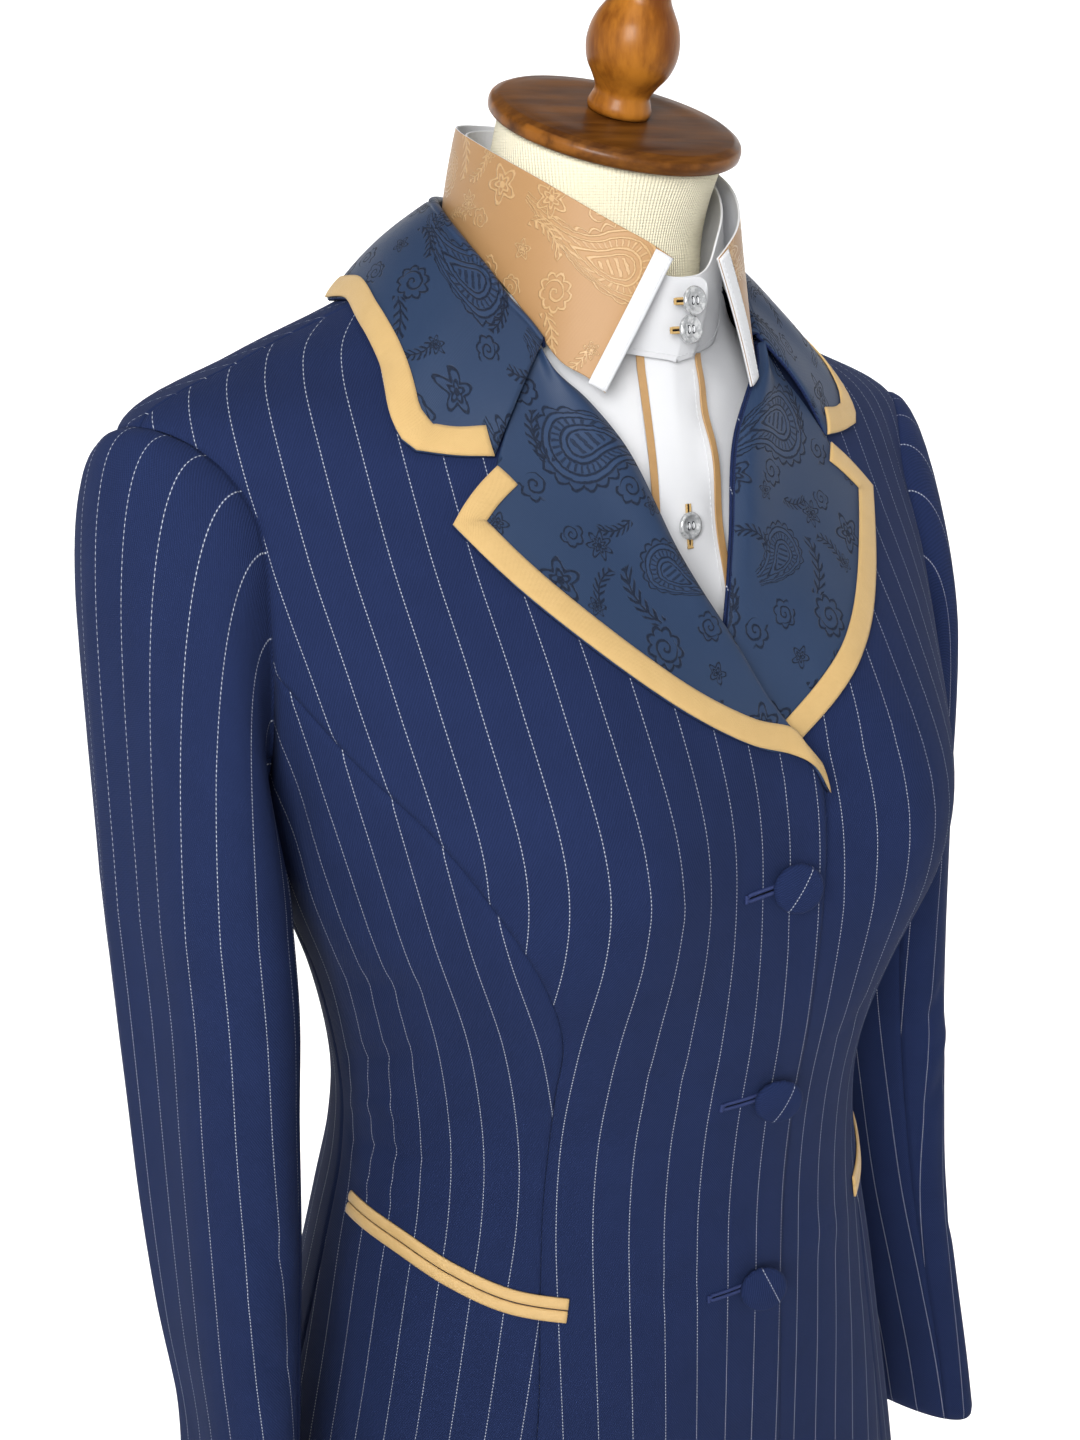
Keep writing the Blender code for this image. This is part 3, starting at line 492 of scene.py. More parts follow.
class Socket:
    """A node output that can be used in sums and products."""

    def __init__(self, pen, out):
        self.pen = pen
        self.out = out

    def __add__(self, other):
        return self.pen.math("ADD", self, other)

    def __sub__(self, other):
        return self.pen.math("SUBTRACT", self, other)

    def __rsub__(self, other):
        return self.pen.math("SUBTRACT", other, self)

    def __mul__(self, other):
        return self.pen.math("MULTIPLY", self, other)

    def __truediv__(self, other):
        return self.pen.math("DIVIDE", self, other)

    __radd__ = __add__
    __rmul__ = __mul__


class Pen:
    """Draws one material's node tree."""

    def __init__(self, name):
        self.mat = bpy.data.materials.new(name)
        self.mat.use_nodes = True
        self.tree = self.mat.node_tree
        self.skin = self.tree.nodes["Principled BSDF"]

    def node(self, kind, outlet=0, settings=None, **inputs):
        """A node with its settings and inputs, as the Socket of one outlet."""
        made = self.tree.nodes.new(kind)
        for key, value in (settings or {}).items():
            setattr(made, key, value)
        for key, value in inputs.items():
            self.feed(made.inputs[key.replace("_", " ")], value)
        return Socket(self, made.outputs[outlet])

    def feed(self, inlet, value):
        """A Socket is linked, a number or colour is set."""
        if isinstance(value, Socket):
            self.tree.links.new(value.out, inlet)
        elif isinstance(value, tuple) and len(value) == 3 and inlet.type == "RGBA":
            inlet.default_value = (*value, 1.0)
        else:
            inlet.default_value = value

    def math(self, op, *values):
        """One Math node."""
        made = self.tree.nodes.new("ShaderNodeMath")
        made.operation = op
        for inlet, value in zip(made.inputs, values):
            self.feed(inlet, value)
        return Socket(self, made.outputs[0])

    def size(self, value):
        """Value without its sign."""
        return self.math("ABSOLUTE", value)

    def most(self, a, b):
        """The larger of two."""
        return self.math("MAXIMUM", a, b)

    def least(self, a, b):
        """The smaller of two."""
        return self.math("MINIMUM", a, b)

    def sine(self, value, pitch=FULL_TURN):
        """Sine of 2 pi value / pitch."""
        return self.math("SINE", value * (FULL_TURN / pitch))

    def split(self, where):
        """x, y and z of a vector."""
        first = self.node("ShaderNodeSeparateXYZ", Vector=where)
        return [Socket(self, out) for out in first.out.node.outputs]

    def uv(self):
        """Metres across and along the cloth, and both as a vector."""
        where = self.node("ShaderNodeUVMap", settings={"uv_map": "cloth"})
        u, v, _ = self.split(where)
        return u, v, where

    def place(self):
        """Point of the piece itself, in metres."""
        return self.node("ShaderNodeTexCoord", outlet=3)

    def noise(self, vector, scale, detail=3.0, rough=0.55):
        """Cloudy noise, about 0.5 on average."""
        return self.node("ShaderNodeTexNoise", Vector=vector, Scale=scale, Detail=detail,
                         Roughness=rough)

    def step(self, value, low, high):
        """0 below low, 1 above high, smooth between."""
        return self.node("ShaderNodeMapRange", settings={"interpolation_type": "SMOOTHSTEP"},
                         Value=value, From_Min=low, From_Max=high)

    def stroke(self, away, low, high):
        """1 where the distance from a line is under low, 0 above high."""
        return 1.0 - self.step(self.size(away), low, high)

    def blend(self, share, a, b):
        """Colour a where share is 0, b where it is 1."""
        made = self.tree.nodes.new("ShaderNodeMix")
        made.data_type = "RGBA"
        for slot, value in ((0, share), (6, a), (7, b)):
            self.feed(made.inputs[slot], value)
        return Socket(self, made.outputs[2])

    def finish(self, colour, rough, height=None, depth=0.0003, **more):
        """Colour, roughness, relief of the given depth in metres, and constants."""
        self.feed(self.skin.inputs["Base Color"], colour)
        self.feed(self.skin.inputs["Roughness"], rough)
        for key, value in more.items():
            self.feed(self.skin.inputs[key.replace("_", " ")], value)
        if height is not None:
            bump = self.node("ShaderNodeBump", Height=height, Strength=1.0, Distance=depth)
            self.feed(self.skin.inputs["Normal"], bump)
        return self.mat


def scaled(colour, by):
    """Colour times a number, no brighter than 1."""
    return tuple(min(c * by, 1) for c in colour)


print("node operations ready:", len([k for k in dir(Pen) if not k.startswith("_")]))

# %% [markdown]
# ## Navy wool with pinstripes
# The suiting is a twill: its ribs run slantwise because each thread crosses one step further on.
# A stripe is one pale thread, and shows as dots where it goes under.  A striped texture alone
# would look printed, so the dots, the ribs and a little fuzz are in the relief too.

# %% Wool
STRIPE = 15.5         # between pinstripes
RIB_PITCH, WEFT_PITCH, DOT_PITCH = 0.00106, 0.00047, 0.0015


def wool(name, striped=True, base=(0.0108, 0.0190, 0.0625)):
    """Navy twill: ribs sin(u - 0.62 v), cross threads, cloudy shade, dotted pinstripes."""
    pen = Pen(name)
    u, v, where = pen.uv()
    rib = pen.sine(u - v * 0.62, RIB_PITCH)
    weft = pen.sine(v + u * 0.2, WEFT_PITCH)
    cloud = pen.noise(where, 38.0, 4.0, 0.6)
    fuzz = pen.noise(where, 2600.0, 2.0, 0.6)
    tone = cloud * 0.30 + fuzz * 0.55 + rib * 0.14 + 0.1
    colour = pen.blend(tone, scaled(base, 0.55), scaled(base, 1.75))
    rough = 0.92 - fuzz * 0.10
    height = rib * 0.5 + weft * 0.25 + fuzz * 0.4
    if striped:
        away = (pen.math("FRACT", u / (STRIPE * MM) + 0.5) - 0.5) * (STRIPE * MM)
        dots = pen.step(pen.sine(v, DOT_PITCH), -0.2, 0.3) * 0.85 + 0.15
        stripe = pen.stroke(away, 0.00010, 0.00024) * dots
        colour = pen.blend(stripe * 0.9, colour, (0.50, 0.54, 0.64))
        rough = rough - stripe * 0.35
        height = height + stripe * 0.8
    return pen.finish(colour, rough, height, 0.00012, Sheen_Weight=0.03, Sheen_Roughness=0.5,
                      Sheen_Tint=(0.40, 0.52, 0.9), Specular_IOR_Level=0.10)


NAVY = wool("pinstripe_wool")
NAVY_PLAIN = wool("navy_under", False)
print("wool nodes:", len(NAVY.node_tree.nodes), "plain:", len(NAVY_PLAIN.node_tree.nodes))

# %% [markdown]
# ## Jacket body
# Four pieces of cloth on each side, front, side front, side back and back, are sewn at princess,
# side and back seams, which do the shaping.  One seamless skin could be cut afterwards, but its
# stripes would run through the seams.  Here each panel is a grid between its own two seams, with
# its own grain line.

# %% Seams of the jacket
SHOULDER = 87.5       # angle of the shoulder seam
FRONT_LAP = 18.0
UNDER = 2.6           # depth of the left front under the right one

# seams: angle in degrees from the front, station
PRINCESS = [(41, 0), (40, 3), (42.7, 4.2), (43.9, 5.64), (42.3, 6.55), (40.8, 7.09),
            (42.5, 7.73), (46.6, 8.32), (53.0, 8.94), (62.4, 9.44)]
SIDE_SEAM = [(101, 0), (99, 3), (98, 6), (98, 8)]
BACK_PRINCESS = [(141, 0), (141, 3), (143, 5.5), (140, 7.6), (131, 9.1)]
BACK_MIDDLE = [(180, 0), (180, 4), (180, 8), (180, 12), (180, 14.2)]
NECKLINE = [(180, 14.2), (180, 14.75), (120, 15.0), (SHOULDER + 4, 15.2)]
FRONT_NECK = [(36, 13.45), (46, 13.9), (66, 14.6), (SHOULDER - 4, 15.2)]

# lines on the front: x, station
FRONT_EDGE = [(FRONT_LAP, 0), (FRONT_LAP, 3), (FRONT_LAP, 6), (FRONT_LAP + 1, 8), (20, 8.93)]
ROLL_RIGHT = [(20, 8.95), (18, 9.2), (7, 9.48), (-11, 10.26), (-25, 11.29), (-44, 12.50),
              (-52.5, 12.95), (-56, 13.4)]
ROLL_LEFT = [(-19, 9.0), (-17, 9.5), (-8, 10.25), (10, 11.12), (27, 12.00), (42, 12.55),
             (52.5, 12.95), (56, 13.4)]


def seam(rows, meets, side):
    """Fine points along a seam that ends on the armhole."""
    return line(to_armhole(rows, meets, side), fine(17))


def shoulder(gap, top, n, side):
    """Points up the shoulder seam, gap degrees off it, without the first of n."""
    return line(edge([(SHOULDER + gap, 12.05), (SHOULDER + gap, top)], side), n)[1:]


def clear(n):
    """Shares that stop just short of both seams: 0.0005 + 0.999 spread."""
    return 0.0005 + 0.999 * spread(fine(n))


def front_drop(g, side):
    """How far the left front lies under the right one, smooth from the roll line inwards."""
    th, s = pair(g)
    if side < 0:
        return np.zeros(th.shape)
    roll = np.interp(s, [8.9, 9.2, 9.48, 10.26, 11.3, 12.5], [20, 18, 7, -11, -25, -44])
    depth = UNDER + 5.2 * np.clip((s - 7.9) / 1.3, 0, 1)
    t = np.clip((roll + 54 - shape(th, s)[..., 0]) / 50, 0, 1) * np.clip((11.4 - s) / 1.6, 0, 1)
    return -depth * t * t * (3 - 2 * t)


print("princess seam, mm:", round(float(run(surface(*pair(seam(PRINCESS, 97, 1)), 0.0))[-1])))

# %% Panels of the jacket
def front_grid(side):
    """From the buttoned edge, roll line and neck out to princess seam, armhole and shoulder."""
    outer = np.concatenate([seam(PRINCESS, 97, side), arc(97, 0, fine(7), side),
                            shoulder(-0.1, 15.2, fine(6), side)])
    roll = line(edge_x(ROLL_RIGHT if side < 0 else ROLL_LEFT), fine(10))[1:]
    neck = line(edge(FRONT_NECK, side), fine(6))[1:]
    fore = line(edge_x(FRONT_EDGE, -side), len(outer) - len(roll) - len(neck))
    return between(np.concatenate([fore, roll, neck]), outer, clear(9))


def side_grid(a, b, a0, a1, side):
    """Between two seams, its top drawn to the armhole: + height^4 * (arc - straight top)."""
    a, b = seam(a, a0, side), seam(b, a1, side)
    g = between(a, b, clear(6))
    rise = np.linspace(0, 1, len(a))[:, None, None] ** 4
    return g + rise * (armhole(a0 + (a1 - a0) * clear(6), side) - g[-1])


def back_grid(side):
    """From the middle of the back out to back seam, armhole and shoulder."""
    outer = np.concatenate([seam(BACK_PRINCESS, 250, side), arc(250, 359.5, fine(7), side),
                            shoulder(0.1, 15.2, fine(6), side)])
    top = line(edge(NECKLINE, side), fine(6))[1:]
    middle = line(edge(BACK_MIDDLE, side), len(outer) - len(top))
    return between(np.concatenate([middle, top]), outer, spread(fine(7)))


def panel(node, g, at, lift=0.0):
    """Jacket panel over a grid of the trunk, its borders rolled in to a seam."""
    outer = body(*pair(g), lift + edge_roll(surface(*pair(g), 0.0)))
    shell(node, outer, body(*pair(g), lift - WALL), [NAVY], grain(g, at))


for side, word in SIDES:
    g = front_grid(side)
    panel("front_" + word, g, 0.0, front_drop(g, side))
    panel("side_front_" + word, side_grid(PRINCESS, SIDE_SEAM, 97, 193, side), 70 * side)
    panel("side_back_" + word, side_grid(SIDE_SEAM, BACK_PRINCESS, 193, 250, side), 119 * side)
    panel("back_" + word, back_grid(side), 180.0 * side)
made(0)

# %% [markdown]
# ## Sleeves
# A tailored sleeve has two pieces: a wide top sleeve, whose head is eased into the armhole, and a
# narrow under sleeve.  A bent tube with a boolean at the armhole would leave a hard cut.  Here
# every line along the sleeve starts under the body's cloth, leaves the armhole on a Bezier curve,
# and then runs down through turned ovals to the cuff.

# %% Rings of the sleeve
# height, middle x (wearer's left), middle y, half depth, outer half, inner half, turn
SLEEVE = np.array([
    (1180, 190.0, 22, 65, 32.0, 29.5, 0), (1140, 190.0, 20, 65, 31.0, 30.0, 0),
    (1090, 190.0, 17, 62, 30.0, 29.0, 3), (1040, 190.5, 13, 59, 29.0, 28.0, 5),
    (990, 191.5, 8, 56, 26.5, 26.0, 8), (940, 192.5, 2, 54, 22.5, 22.5, 11),
    (880, 201.0, -5, 52, 20.0, 20.0, 13), (820, 211.0, -12, 50, 19.0, 19.0, 14),
    (785, 216.0, -16, 49, 19.0, 19.0, 14)])
SLEEVE_TOP, SLEEVE_END = 1180, 785
# the sleeve head's edge under the body: growth of the armhole ring, distance from the surface
TURNED_IN = [(5.0, -4.4), (3.0, -4.0), (1.2, -3.2), (0.1, -2.0), (-0.5, -0.8)]
CAP_ROWS = 6 * FINE

# from angle, height, to angle, height, half width mm, height mm
SLEEVE_CREASES = [
    (-4, 1350, -14, 780, 8.0, 3.4), (66, 1250, 74, 1010, 12.0, -1.8),
    (-30, 1300, -36, 800, 9.0, -1.8), (16, 1300, 18, 880, 12.0, -1.6),
    (70, 1060, 110, 1035, 6.0, -2.2), (64, 1032, 104, 1008, 6.0, 1.6),
    (76, 1004, 112, 986, 6.0, -1.8), (-60, 1240, -76, 900, 13.0, -2.0),
    (-30, 1130, -34, 960, 11.0, 1.8), (150, 1190, 205, 1160, 8.0, -1.8),
    (150, 1150, 200, 1128, 8.0, 1.4), (-88, 1075, -120, 1050, 7.0, -1.6),
    (40, 930, 84, 905, 8.0, -1.4),
]


def sleeve_ring(row, a, side):
    """Oval of one table row: x = half width cos^0.88, y = -depth sin^0.95, turned."""
    z, cx, cy, deep, out, inn, turn = row
    x = np.where(np.cos(a) > 0, out, inn) * power(np.cos(a), 0.88)
    y = -deep * power(np.sin(a), 0.95)
    t = math.radians(turn)
    return np.stack([side * (cx + x * math.cos(t) - y * math.sin(t)),
                     cy + x * math.sin(t) + y * math.cos(t), np.full_like(a, z)], -1)


def sleeve_grid(angles, side):
    """Rings from the armhole to the cuff; angle 0 is the outside, 90 the front."""
    a = np.radians(angles)
    grid = [surface(*pair(armhole(angles, side, grow)), off) for grow, off in TURNED_IN]
    start = surface(*pair(armhole(angles, side, -0.6)), 0.2)
    top = (1 + np.cos(a)) / 2
    way = unit(np.stack([side * (0.25 + 0.95 * top), -0.45 * np.sin(a),
                         0.05 - 0.75 * (1 - top)], -1))
    first = sleeve_ring(SLEEVE[0], a, side)
    c1 = start + way * (12 + 15 * top)[:, None]
    c2 = first + (0.55 * (start - first)) * np.array([0, 0, 1])
    for t in np.linspace(0, 1, CAP_ROWS)[:-1] ** 1.25:
        grid.append((1 - t) ** 3 * start + 3 * t * (1 - t) ** 2 * c1
                    + 3 * t * t * (1 - t) * c2 + t**3 * first)
    for z in np.linspace(SLEEVE_TOP, SLEEVE_END, 14 * FINE):
        grid.append(sleeve_ring((z, *smooth(SLEEVE[::-1], z)), a, side))
    return np.array(grid)


def normals(grid, away):
    """Unit normals of a grid, on the side that points away from these middle points."""
    n = unit(np.cross(np.gradient(grid, axis=1), np.gradient(grid, axis=0)))
    return n * np.sign((n * (grid - away)).sum())


cuff = sleeve_ring(SLEEVE[-1], np.radians(np.arange(361.0)), 1)
print("cuff round, mm:", round(float(run(cuff)[-1])))

# %% Sleeves with their folds
def sleeve(node, side, a0, a1, cols, grain_at):
    """Half sleeve between two angles, with creases, eased head and cloth run along the arm."""
    share = spread(fine(cols))
    step = share[1] - share[0]
    angles = a0 + (a1 - a0) * np.concatenate([[-step], share, [1 + step]])
    wide = sleeve_grid(angles, side)
    mid = smooth(SLEEVE[::-1], np.clip(wide[..., 2], SLEEVE_END, SLEEVE_TOP))
    away = np.stack([side * mid[..., 0], mid[..., 1], wide[..., 2]], -1)
    n, base = normals(wide, away)[:, 1:-1], wide[:, 1:-1]
    ang = np.broadcast_to(angles[None, 1:-1], base.shape[:2])
    ease = np.exp(-np.arange(len(base)) / 5.0)[:, None] * 0.55 * np.sin(np.radians(ang) * 22)
    ease = ease * (np.cos(np.radians(ang)) > 0.0)
    off = crease_field(ang, base[..., 2], SLEEVE_CREASES, 0.8, 1.0) + edge_roll(base) + ease
    around = run(base, 1)
    around = around - np.array([np.interp(grain_at, angles[1:-1], row) for row in around])[:, None]
    ring = CAP_ROWS - 1 + len(TURNED_IN)
    around[:ring] = around[ring]
    down = run(base, 0).mean(1)[:, None] * np.ones_like(around)
    shell(node, base + n * off[..., None], base + n * (off - WALL)[..., None], [NAVY],
          np.stack([around * side, -down], -1))


since = len(PIECES)
for side, word in SIDES:
    sleeve("sleeve_top_" + word, side, -112.0, 126.1, 11, 0.0)
    sleeve("sleeve_under_" + word, side, 126.3, 247.8, 7, 187.0)
made(since)

# %% [markdown]
# ## Woven paisley
# Lapels, collar and the shirt's collar are jacquard: the loom lifts single threads, so curled
# drops, flowers and tendrils are drawn in the weave itself.  They could be painted, but a drawn
# line is only a distance that is small.  Each figure here is such a distance, and the cloth
# repeats them in columns, every other one half a repeat lower.

# %% Figures of the weave
REPEAT_WIDE, REPEAT_TALL = 0.078, 0.092


def local(u, v, at, turn, size):
    """Coordinates turned and scaled about a point."""
    du, dv = u - at[0], v - at[1]
    c, s = math.cos(turn) / size, math.sin(turn) / size
    return du * c + dv * s, dv * c - du * s


def polar(pen, u, v, at, size, turn):
    """Distance from a point over size, and angle about it plus turn."""
    du, dv = (u - at[0]) / size, (v - at[1]) / size
    return pen.math("SQRT", du * du + dv * dv), pen.math("ARCTAN2", dv, du) + turn


def motif(pen, u, v, at, turn, size, bend):
    """A curled drop: lines at set distances, scallops round it, ribs and a heart inside."""
    x, y = local(u, v, at, turn, size)
    lift = pen.most(y + 0.2, 0.0)
    x = x - lift * lift * bend
    tall = y * (1.0 - pen.math("GREATER_THAN", y, 0.0) * 0.48)
    drop = pen.math("SQRT", x * x * 1.25 + tall * tall) + pen.most(y, 0.0) * pen.size(x) * 0.5
    about = pen.math("ARCTAN2", x, y + 0.001)
    lines = pen.stroke(drop - (pen.size(pen.sine(about * 9.0)) * 0.13 + 1.06), 0.02, 0.05)
    for level, wide in ((0.98, 0.035), (0.80, 0.030), (0.52, 0.035), (0.36, 0.03)):
        lines = lines + pen.stroke(drop - level, wide * 0.5, wide * 1.3)
    ribs = pen.stroke(drop - 0.66, 0.09, 0.11) * pen.step(pen.sine(about * 26.0), 0.2, 0.6)
    heart = pen.stroke(drop, 0.27, 0.29) * pen.step(pen.sine(y * 32.0), 0.0, 0.5)
    return pen.least(lines + ribs * 0.8 + heart * 0.8, 1.0), pen.stroke(drop, 1.0, 1.02)


def rosette(pen, u, v, at, size, petals, turn):
    """Small flower: lines where distance is 0.76 + 0.24 cos(petals * angle), and half that."""
    far, ang = polar(pen, u, v, at, size, turn)
    petal = pen.math("COSINE", ang * petals) * 0.24 + 0.76
    lines = pen.stroke(far - petal, 0.05, 0.12) + pen.stroke(far - petal * 0.5, 0.05, 0.12)
    return pen.least(lines + pen.stroke(far, 0.16, 0.22), 1.0)


def curl(pen, u, v, at, size, turn, lobes):
    """A tendril: lines where 2 * distance - angle / 2 pi is halfway, in a lobed open rim."""
    far, ang = polar(pen, u, v, at, size, turn)
    wave = pen.math("FRACT", far * 2.0 - ang * (0.5 / math.pi))
    rolled = pen.stroke(wave - 0.5, 0.09, 0.18) * pen.stroke(far, 0.74, 0.80)
    petal = pen.size(pen.sine(ang * (lobes * 0.5))) * 0.24 + 0.86
    open_side = pen.step(pen.math("COSINE", ang * 0.5), -0.55, -0.35)
    return pen.most(rolled, pen.stroke(far - petal, 0.05, 0.12) * open_side)


def spray(pen, u, v, at, size, turn):
    """Leaves in pairs on a bent stem: saw teeth of y less |x|, fading at the tips."""
    x, y = local(u, v, at, turn, size)
    wide = pen.size(x - y * y * 0.35)
    inside = pen.stroke(y, 0.95, 1.0) * pen.stroke(wide, 0.26, 0.30)
    veins = pen.stroke(pen.math("FRACT", y * 3.0 - wide * 3.4) - 0.5, 0.14, 0.26)
    return pen.most(veins, pen.stroke(wide, 0.02, 0.05)) * inside


print("repeat, m:", REPEAT_WIDE, "x", REPEAT_TALL)

# %% The repeat and the two silks
# metres in the repeat, turn, size, bend
DROPS = [((0.030, 0.027), -0.75, 0.0160, 0.62), ((0.059, 0.074), -2.6, 0.0105, -0.62)]
# metres in the repeat, size, petals, turn
ROSETTES = [((0.067, 0.017), 0.0072, 6, 0.2), ((0.014, 0.068), 0.0076, 5, 0.9),
            ((0.032, 0.082), 0.0052, 7, 0.4), ((0.072, 0.040), 0.0040, 5, 0.1),
            ((0.056, 0.006), 0.0036, 5, 0.6), ((0.026, 0.060), 0.0034, 6, 0.0)]
# metres in the repeat, size, turn, lobes
CURLS = [((0.0505, 0.0475), 0.0068, 0.5, 9), ((0.0105, 0.0440), 0.0052, 2.6, 7),
         ((0.0475, 0.0120), 0.0056, 4.0, 8), ((0.0720, 0.0560), 0.0046, 1.6, 7),
         ((0.0215, 0.0850), 0.0042, 3.2, 6), ((0.0100, 0.0095), 0.0056, 5.2, 8)]
# metres in the repeat, size, turn
SPRAYS = [((0.0430, 0.0640), 0.0110, 0.5), ((0.0705, 0.0860), 0.0090, -0.9),
          ((0.0620, 0.0285), 0.0100, 1.2), ((0.0120, 0.0270), 0.0095, 0.2),
          ((0.0290, 0.0680), 0.0080, -0.5), ((0.0400, 0.0880), 0.0075, 1.9)]


def jacquard_lines(pen, u, v, where):
    """Drawn lines and filled drops of the repeat, each column half a repeat off the last."""
    col = pen.math("FLOOR", u / REPEAT_WIDE)
    w = v + pen.math("FRACT", col * 0.5) * REPEAT_TALL
    wobble = (pen.noise(where, 420.0, 2.0) - 0.5) * 0.0012
    a = u - col * REPEAT_WIDE + wobble
    b = w - pen.math("FLOOR", w / REPEAT_TALL) * REPEAT_TALL + wobble
    (drawn, filled), (second, other) = (motif(pen, a, b, *row) for row in DROPS)
    drawn, filled = pen.most(drawn, second), pen.most(filled, other)
    for figure, rows in ((rosette, ROSETTES), (curl, CURLS), (spray, SPRAYS)):
        for row in rows:
            drawn = pen.most(drawn, figure(pen, a, b, *row))
    return drawn, filled


def jacquard(name, ground, figure, line_colour, rough, shine, emboss):
    """Satin with a woven paisley: lines of another colour, sunk or raised by emboss."""
    pen = Pen(name)
    u, v, where = pen.uv()
    drawn, filled = jacquard_lines(pen, u, v, where)
    ribs = pen.sine(u + v, 0.00075)
    fleck = pen.noise(where, 1500.0, 2.0)
    cloud = pen.noise(where, 22.0, 3.0)
    base = pen.blend(cloud * 0.5 + fleck * 0.25 + filled * 0.4, ground, figure)
    colour = pen.blend(pen.least(drawn * (fleck * 0.9 + 0.35), 1.0), base, line_colour)
    height = drawn * emboss + filled * 0.5 + ribs * 0.06 + fleck * 0.12
    return pen.finish(colour, drawn * (rough[1] - rough[0]) + rough[0] + fleck * 0.05, height,
                      0.0003, Specular_IOR_Level=shine, Sheen_Weight=0.04, Sheen_Roughness=0.4)


SILK = jacquard("navy_paisley", (0.0165, 0.0340, 0.078), (0.0260, 0.0500, 0.110),
                (0.0025, 0.0055, 0.016), (0.44, 0.62), 0.25, -0.9)
SATIN = jacquard("gold_paisley", (0.375, 0.205, 0.085), (0.43, 0.245, 0.105),
                 (0.54, 0.345, 0.165), (0.42, 0.30), 0.4, 0.9)
print("paisley nodes:", len(SILK.node_tree.nodes))

# %% [markdown]
# ## Plain cloths
# Bindings, pocket lips, pipings and the white poplin are plain weaves: one thread over, one
# under.  A checked image would do from afar.  The product of two sines gives the same squares at
# thread size, and cloudy noise the slubs and the unevenness of real yarn.

# %% Plain weaves and thread
def plain_cloth(name, dark, light, pitch, rough, depth, sheen=0.15, mottled=38.0, slub=0.25,
                spec=0.35):
    """Plain weave: sin(u) * sin(v) at the thread's pitch, with mottling and slubs."""
    pen = Pen(name)
    u, v, where = pen.uv()
    weave = pen.sine(u, pitch) * pen.sine(v, pitch)
    cloud = pen.noise(where, mottled, 4.0, 0.6)
    fleck = pen.noise(where, 1800.0, 2.0)
    colour = pen.blend(cloud * 0.7 + fleck * slub + weave * 0.08, dark, light)
    height = weave * 0.5 + fleck * 0.5 + cloud * 0.6
    return pen.finish(colour, rough + fleck * 0.06, height, depth, Sheen_Weight=sheen,
                      Sheen_Roughness=0.4, Specular_IOR_Level=spec)


def plain(name, colour, rough, spec=0.3):
    """Thread, and the painted shadow of slits and eyes: one colour with fine noise over it."""
    pen = Pen(name)
    fuzz = pen.noise(pen.place(), 2200.0, 2.0)
    shade = pen.blend(fuzz, scaled(colour, 0.75), scaled(colour, 1.25))
    return pen.finish(shade, rough, fuzz, 0.0001, Specular_IOR_Level=spec)


GOLD = plain_cloth("gold_binding", (0.53, 0.340, 0.130), (0.68, 0.465, 0.200), 0.0007, 0.66,
                   0.00016, mottled=90.0)
JET_SATIN = plain_cloth("jet_satin", (0.56, 0.35, 0.13), (0.76, 0.52, 0.23), 0.0006, 0.36,
                        0.00012, mottled=140.0, sheen=0.05, spec=0.5)
PIPING = plain_cloth("gold_piping", (0.36, 0.20, 0.075), (0.54, 0.32, 0.13), 0.0006, 0.40,
                     0.0001, mottled=160.0, spec=0.5)
WHITE = plain_cloth("white_poplin", (0.66, 0.67, 0.70), (0.77, 0.775, 0.79), 0.0005, 0.70,
                    0.00006, mottled=14.0, slub=0.1)
THREAD = plain("navy_thread", (0.020, 0.034, 0.120), 0.6)
GOLD_THREAD = plain("gold_thread", (0.50, 0.33, 0.13), 0.5)
# near-black thread: painted shadow in the buttonhole slits and the shirt buttons' eyes
DARK = plain("slit_shadow", (0.004, 0.005, 0.010), 0.9, 0.1)
print("materials so far:", len(bpy.data.materials))

# %% [markdown]
# ## Narrow strips
# Bindings and pocket lips are folded strips laid along an edge, with mitred corners.  A bevelled
# curve would make them round like cord.  Here a line is moved sideways over the surface it lies
# on, and the strip between both lines is plump in the middle and low at its borders.

# %% Lines moved sideways, and bands
BAND = 10.5           # width of the gold binding


def inset(on, points, dist, turn):
    """Points moved sideways over a surface by dist, mitred at the corners of their line."""
    e = 1e-3
    a, b = pair(points)
    p = on(a, b, 0.0)
    da = (on(a + e, b, 0.0) - on(a - e, b, 0.0)) / (2 * e)
    db = (on(a, b + e, 0.0) - on(a, b - e, 0.0)) / (2 * e)
    n = unit(np.cross(da, db))
    seg = unit(np.diff(p, axis=0))
    sa = np.cross(n, np.vstack([seg[:1], seg])) * turn
    sb = np.cross(n, np.vstack([seg, seg[-1:]])) * turn
    mid = unit(sa + sb)
    move = mid * (dist / np.clip((mid * sa).sum(-1, keepdims=True), 0.35, 1))
    aa, ab, bb = (da * da).sum(-1), (da * db).sum(-1), (db * db).sum(-1)
    ra, rb = (da * move).sum(-1), (db * move).sum(-1)
    return points + np.stack([bb * ra - ab * rb, aa * rb - ab * ra], -1) / (aa * bb - ab**2)[:, None]


def refine(points, corner, steps=FINE):
    """Finer points on a line that keeps its corners: steps between every two points."""
    ends = [0, *corner, len(points) - 1]
    out = [points[:1]]
    for a, b in zip(ends[:-1], ends[1:]):
        rows = np.column_stack([np.arange(b - a + 1), points[a:b + 1]])
        out.append(smooth(rows, np.linspace(0, b - a, (b - a) * steps + 1))[1:])
    return np.concatenate(out)


def band(node, near, far, low, mat, on, thick=1.2):
    """Folded strip between two lines of a surface: height thick * sin(share)^0.35."""
    share = np.linspace(0, 1, 9)
    g = between(near, far, share)
    plump = thick * np.sin(np.pi * (0.06 + 0.88 * share[None])) ** 0.35
    low = low(g) if callable(low) else low
    outer = on(*pair(g), low + plump)
    shell(node, outer, on(*pair(g), low), [mat], strip_uv(outer))


print("binding width, mm:", BAND)


# %% [markdown]
# ## Lapels
# A lapel is the front itself, folded back along the roll line and faced with silk.  Folding a
# flat piece by simulation would lose the drawn outline.  Here the leaf is a grid between the roll
# line and the outline, lifted over the front, with a soft ridge beside the fold.

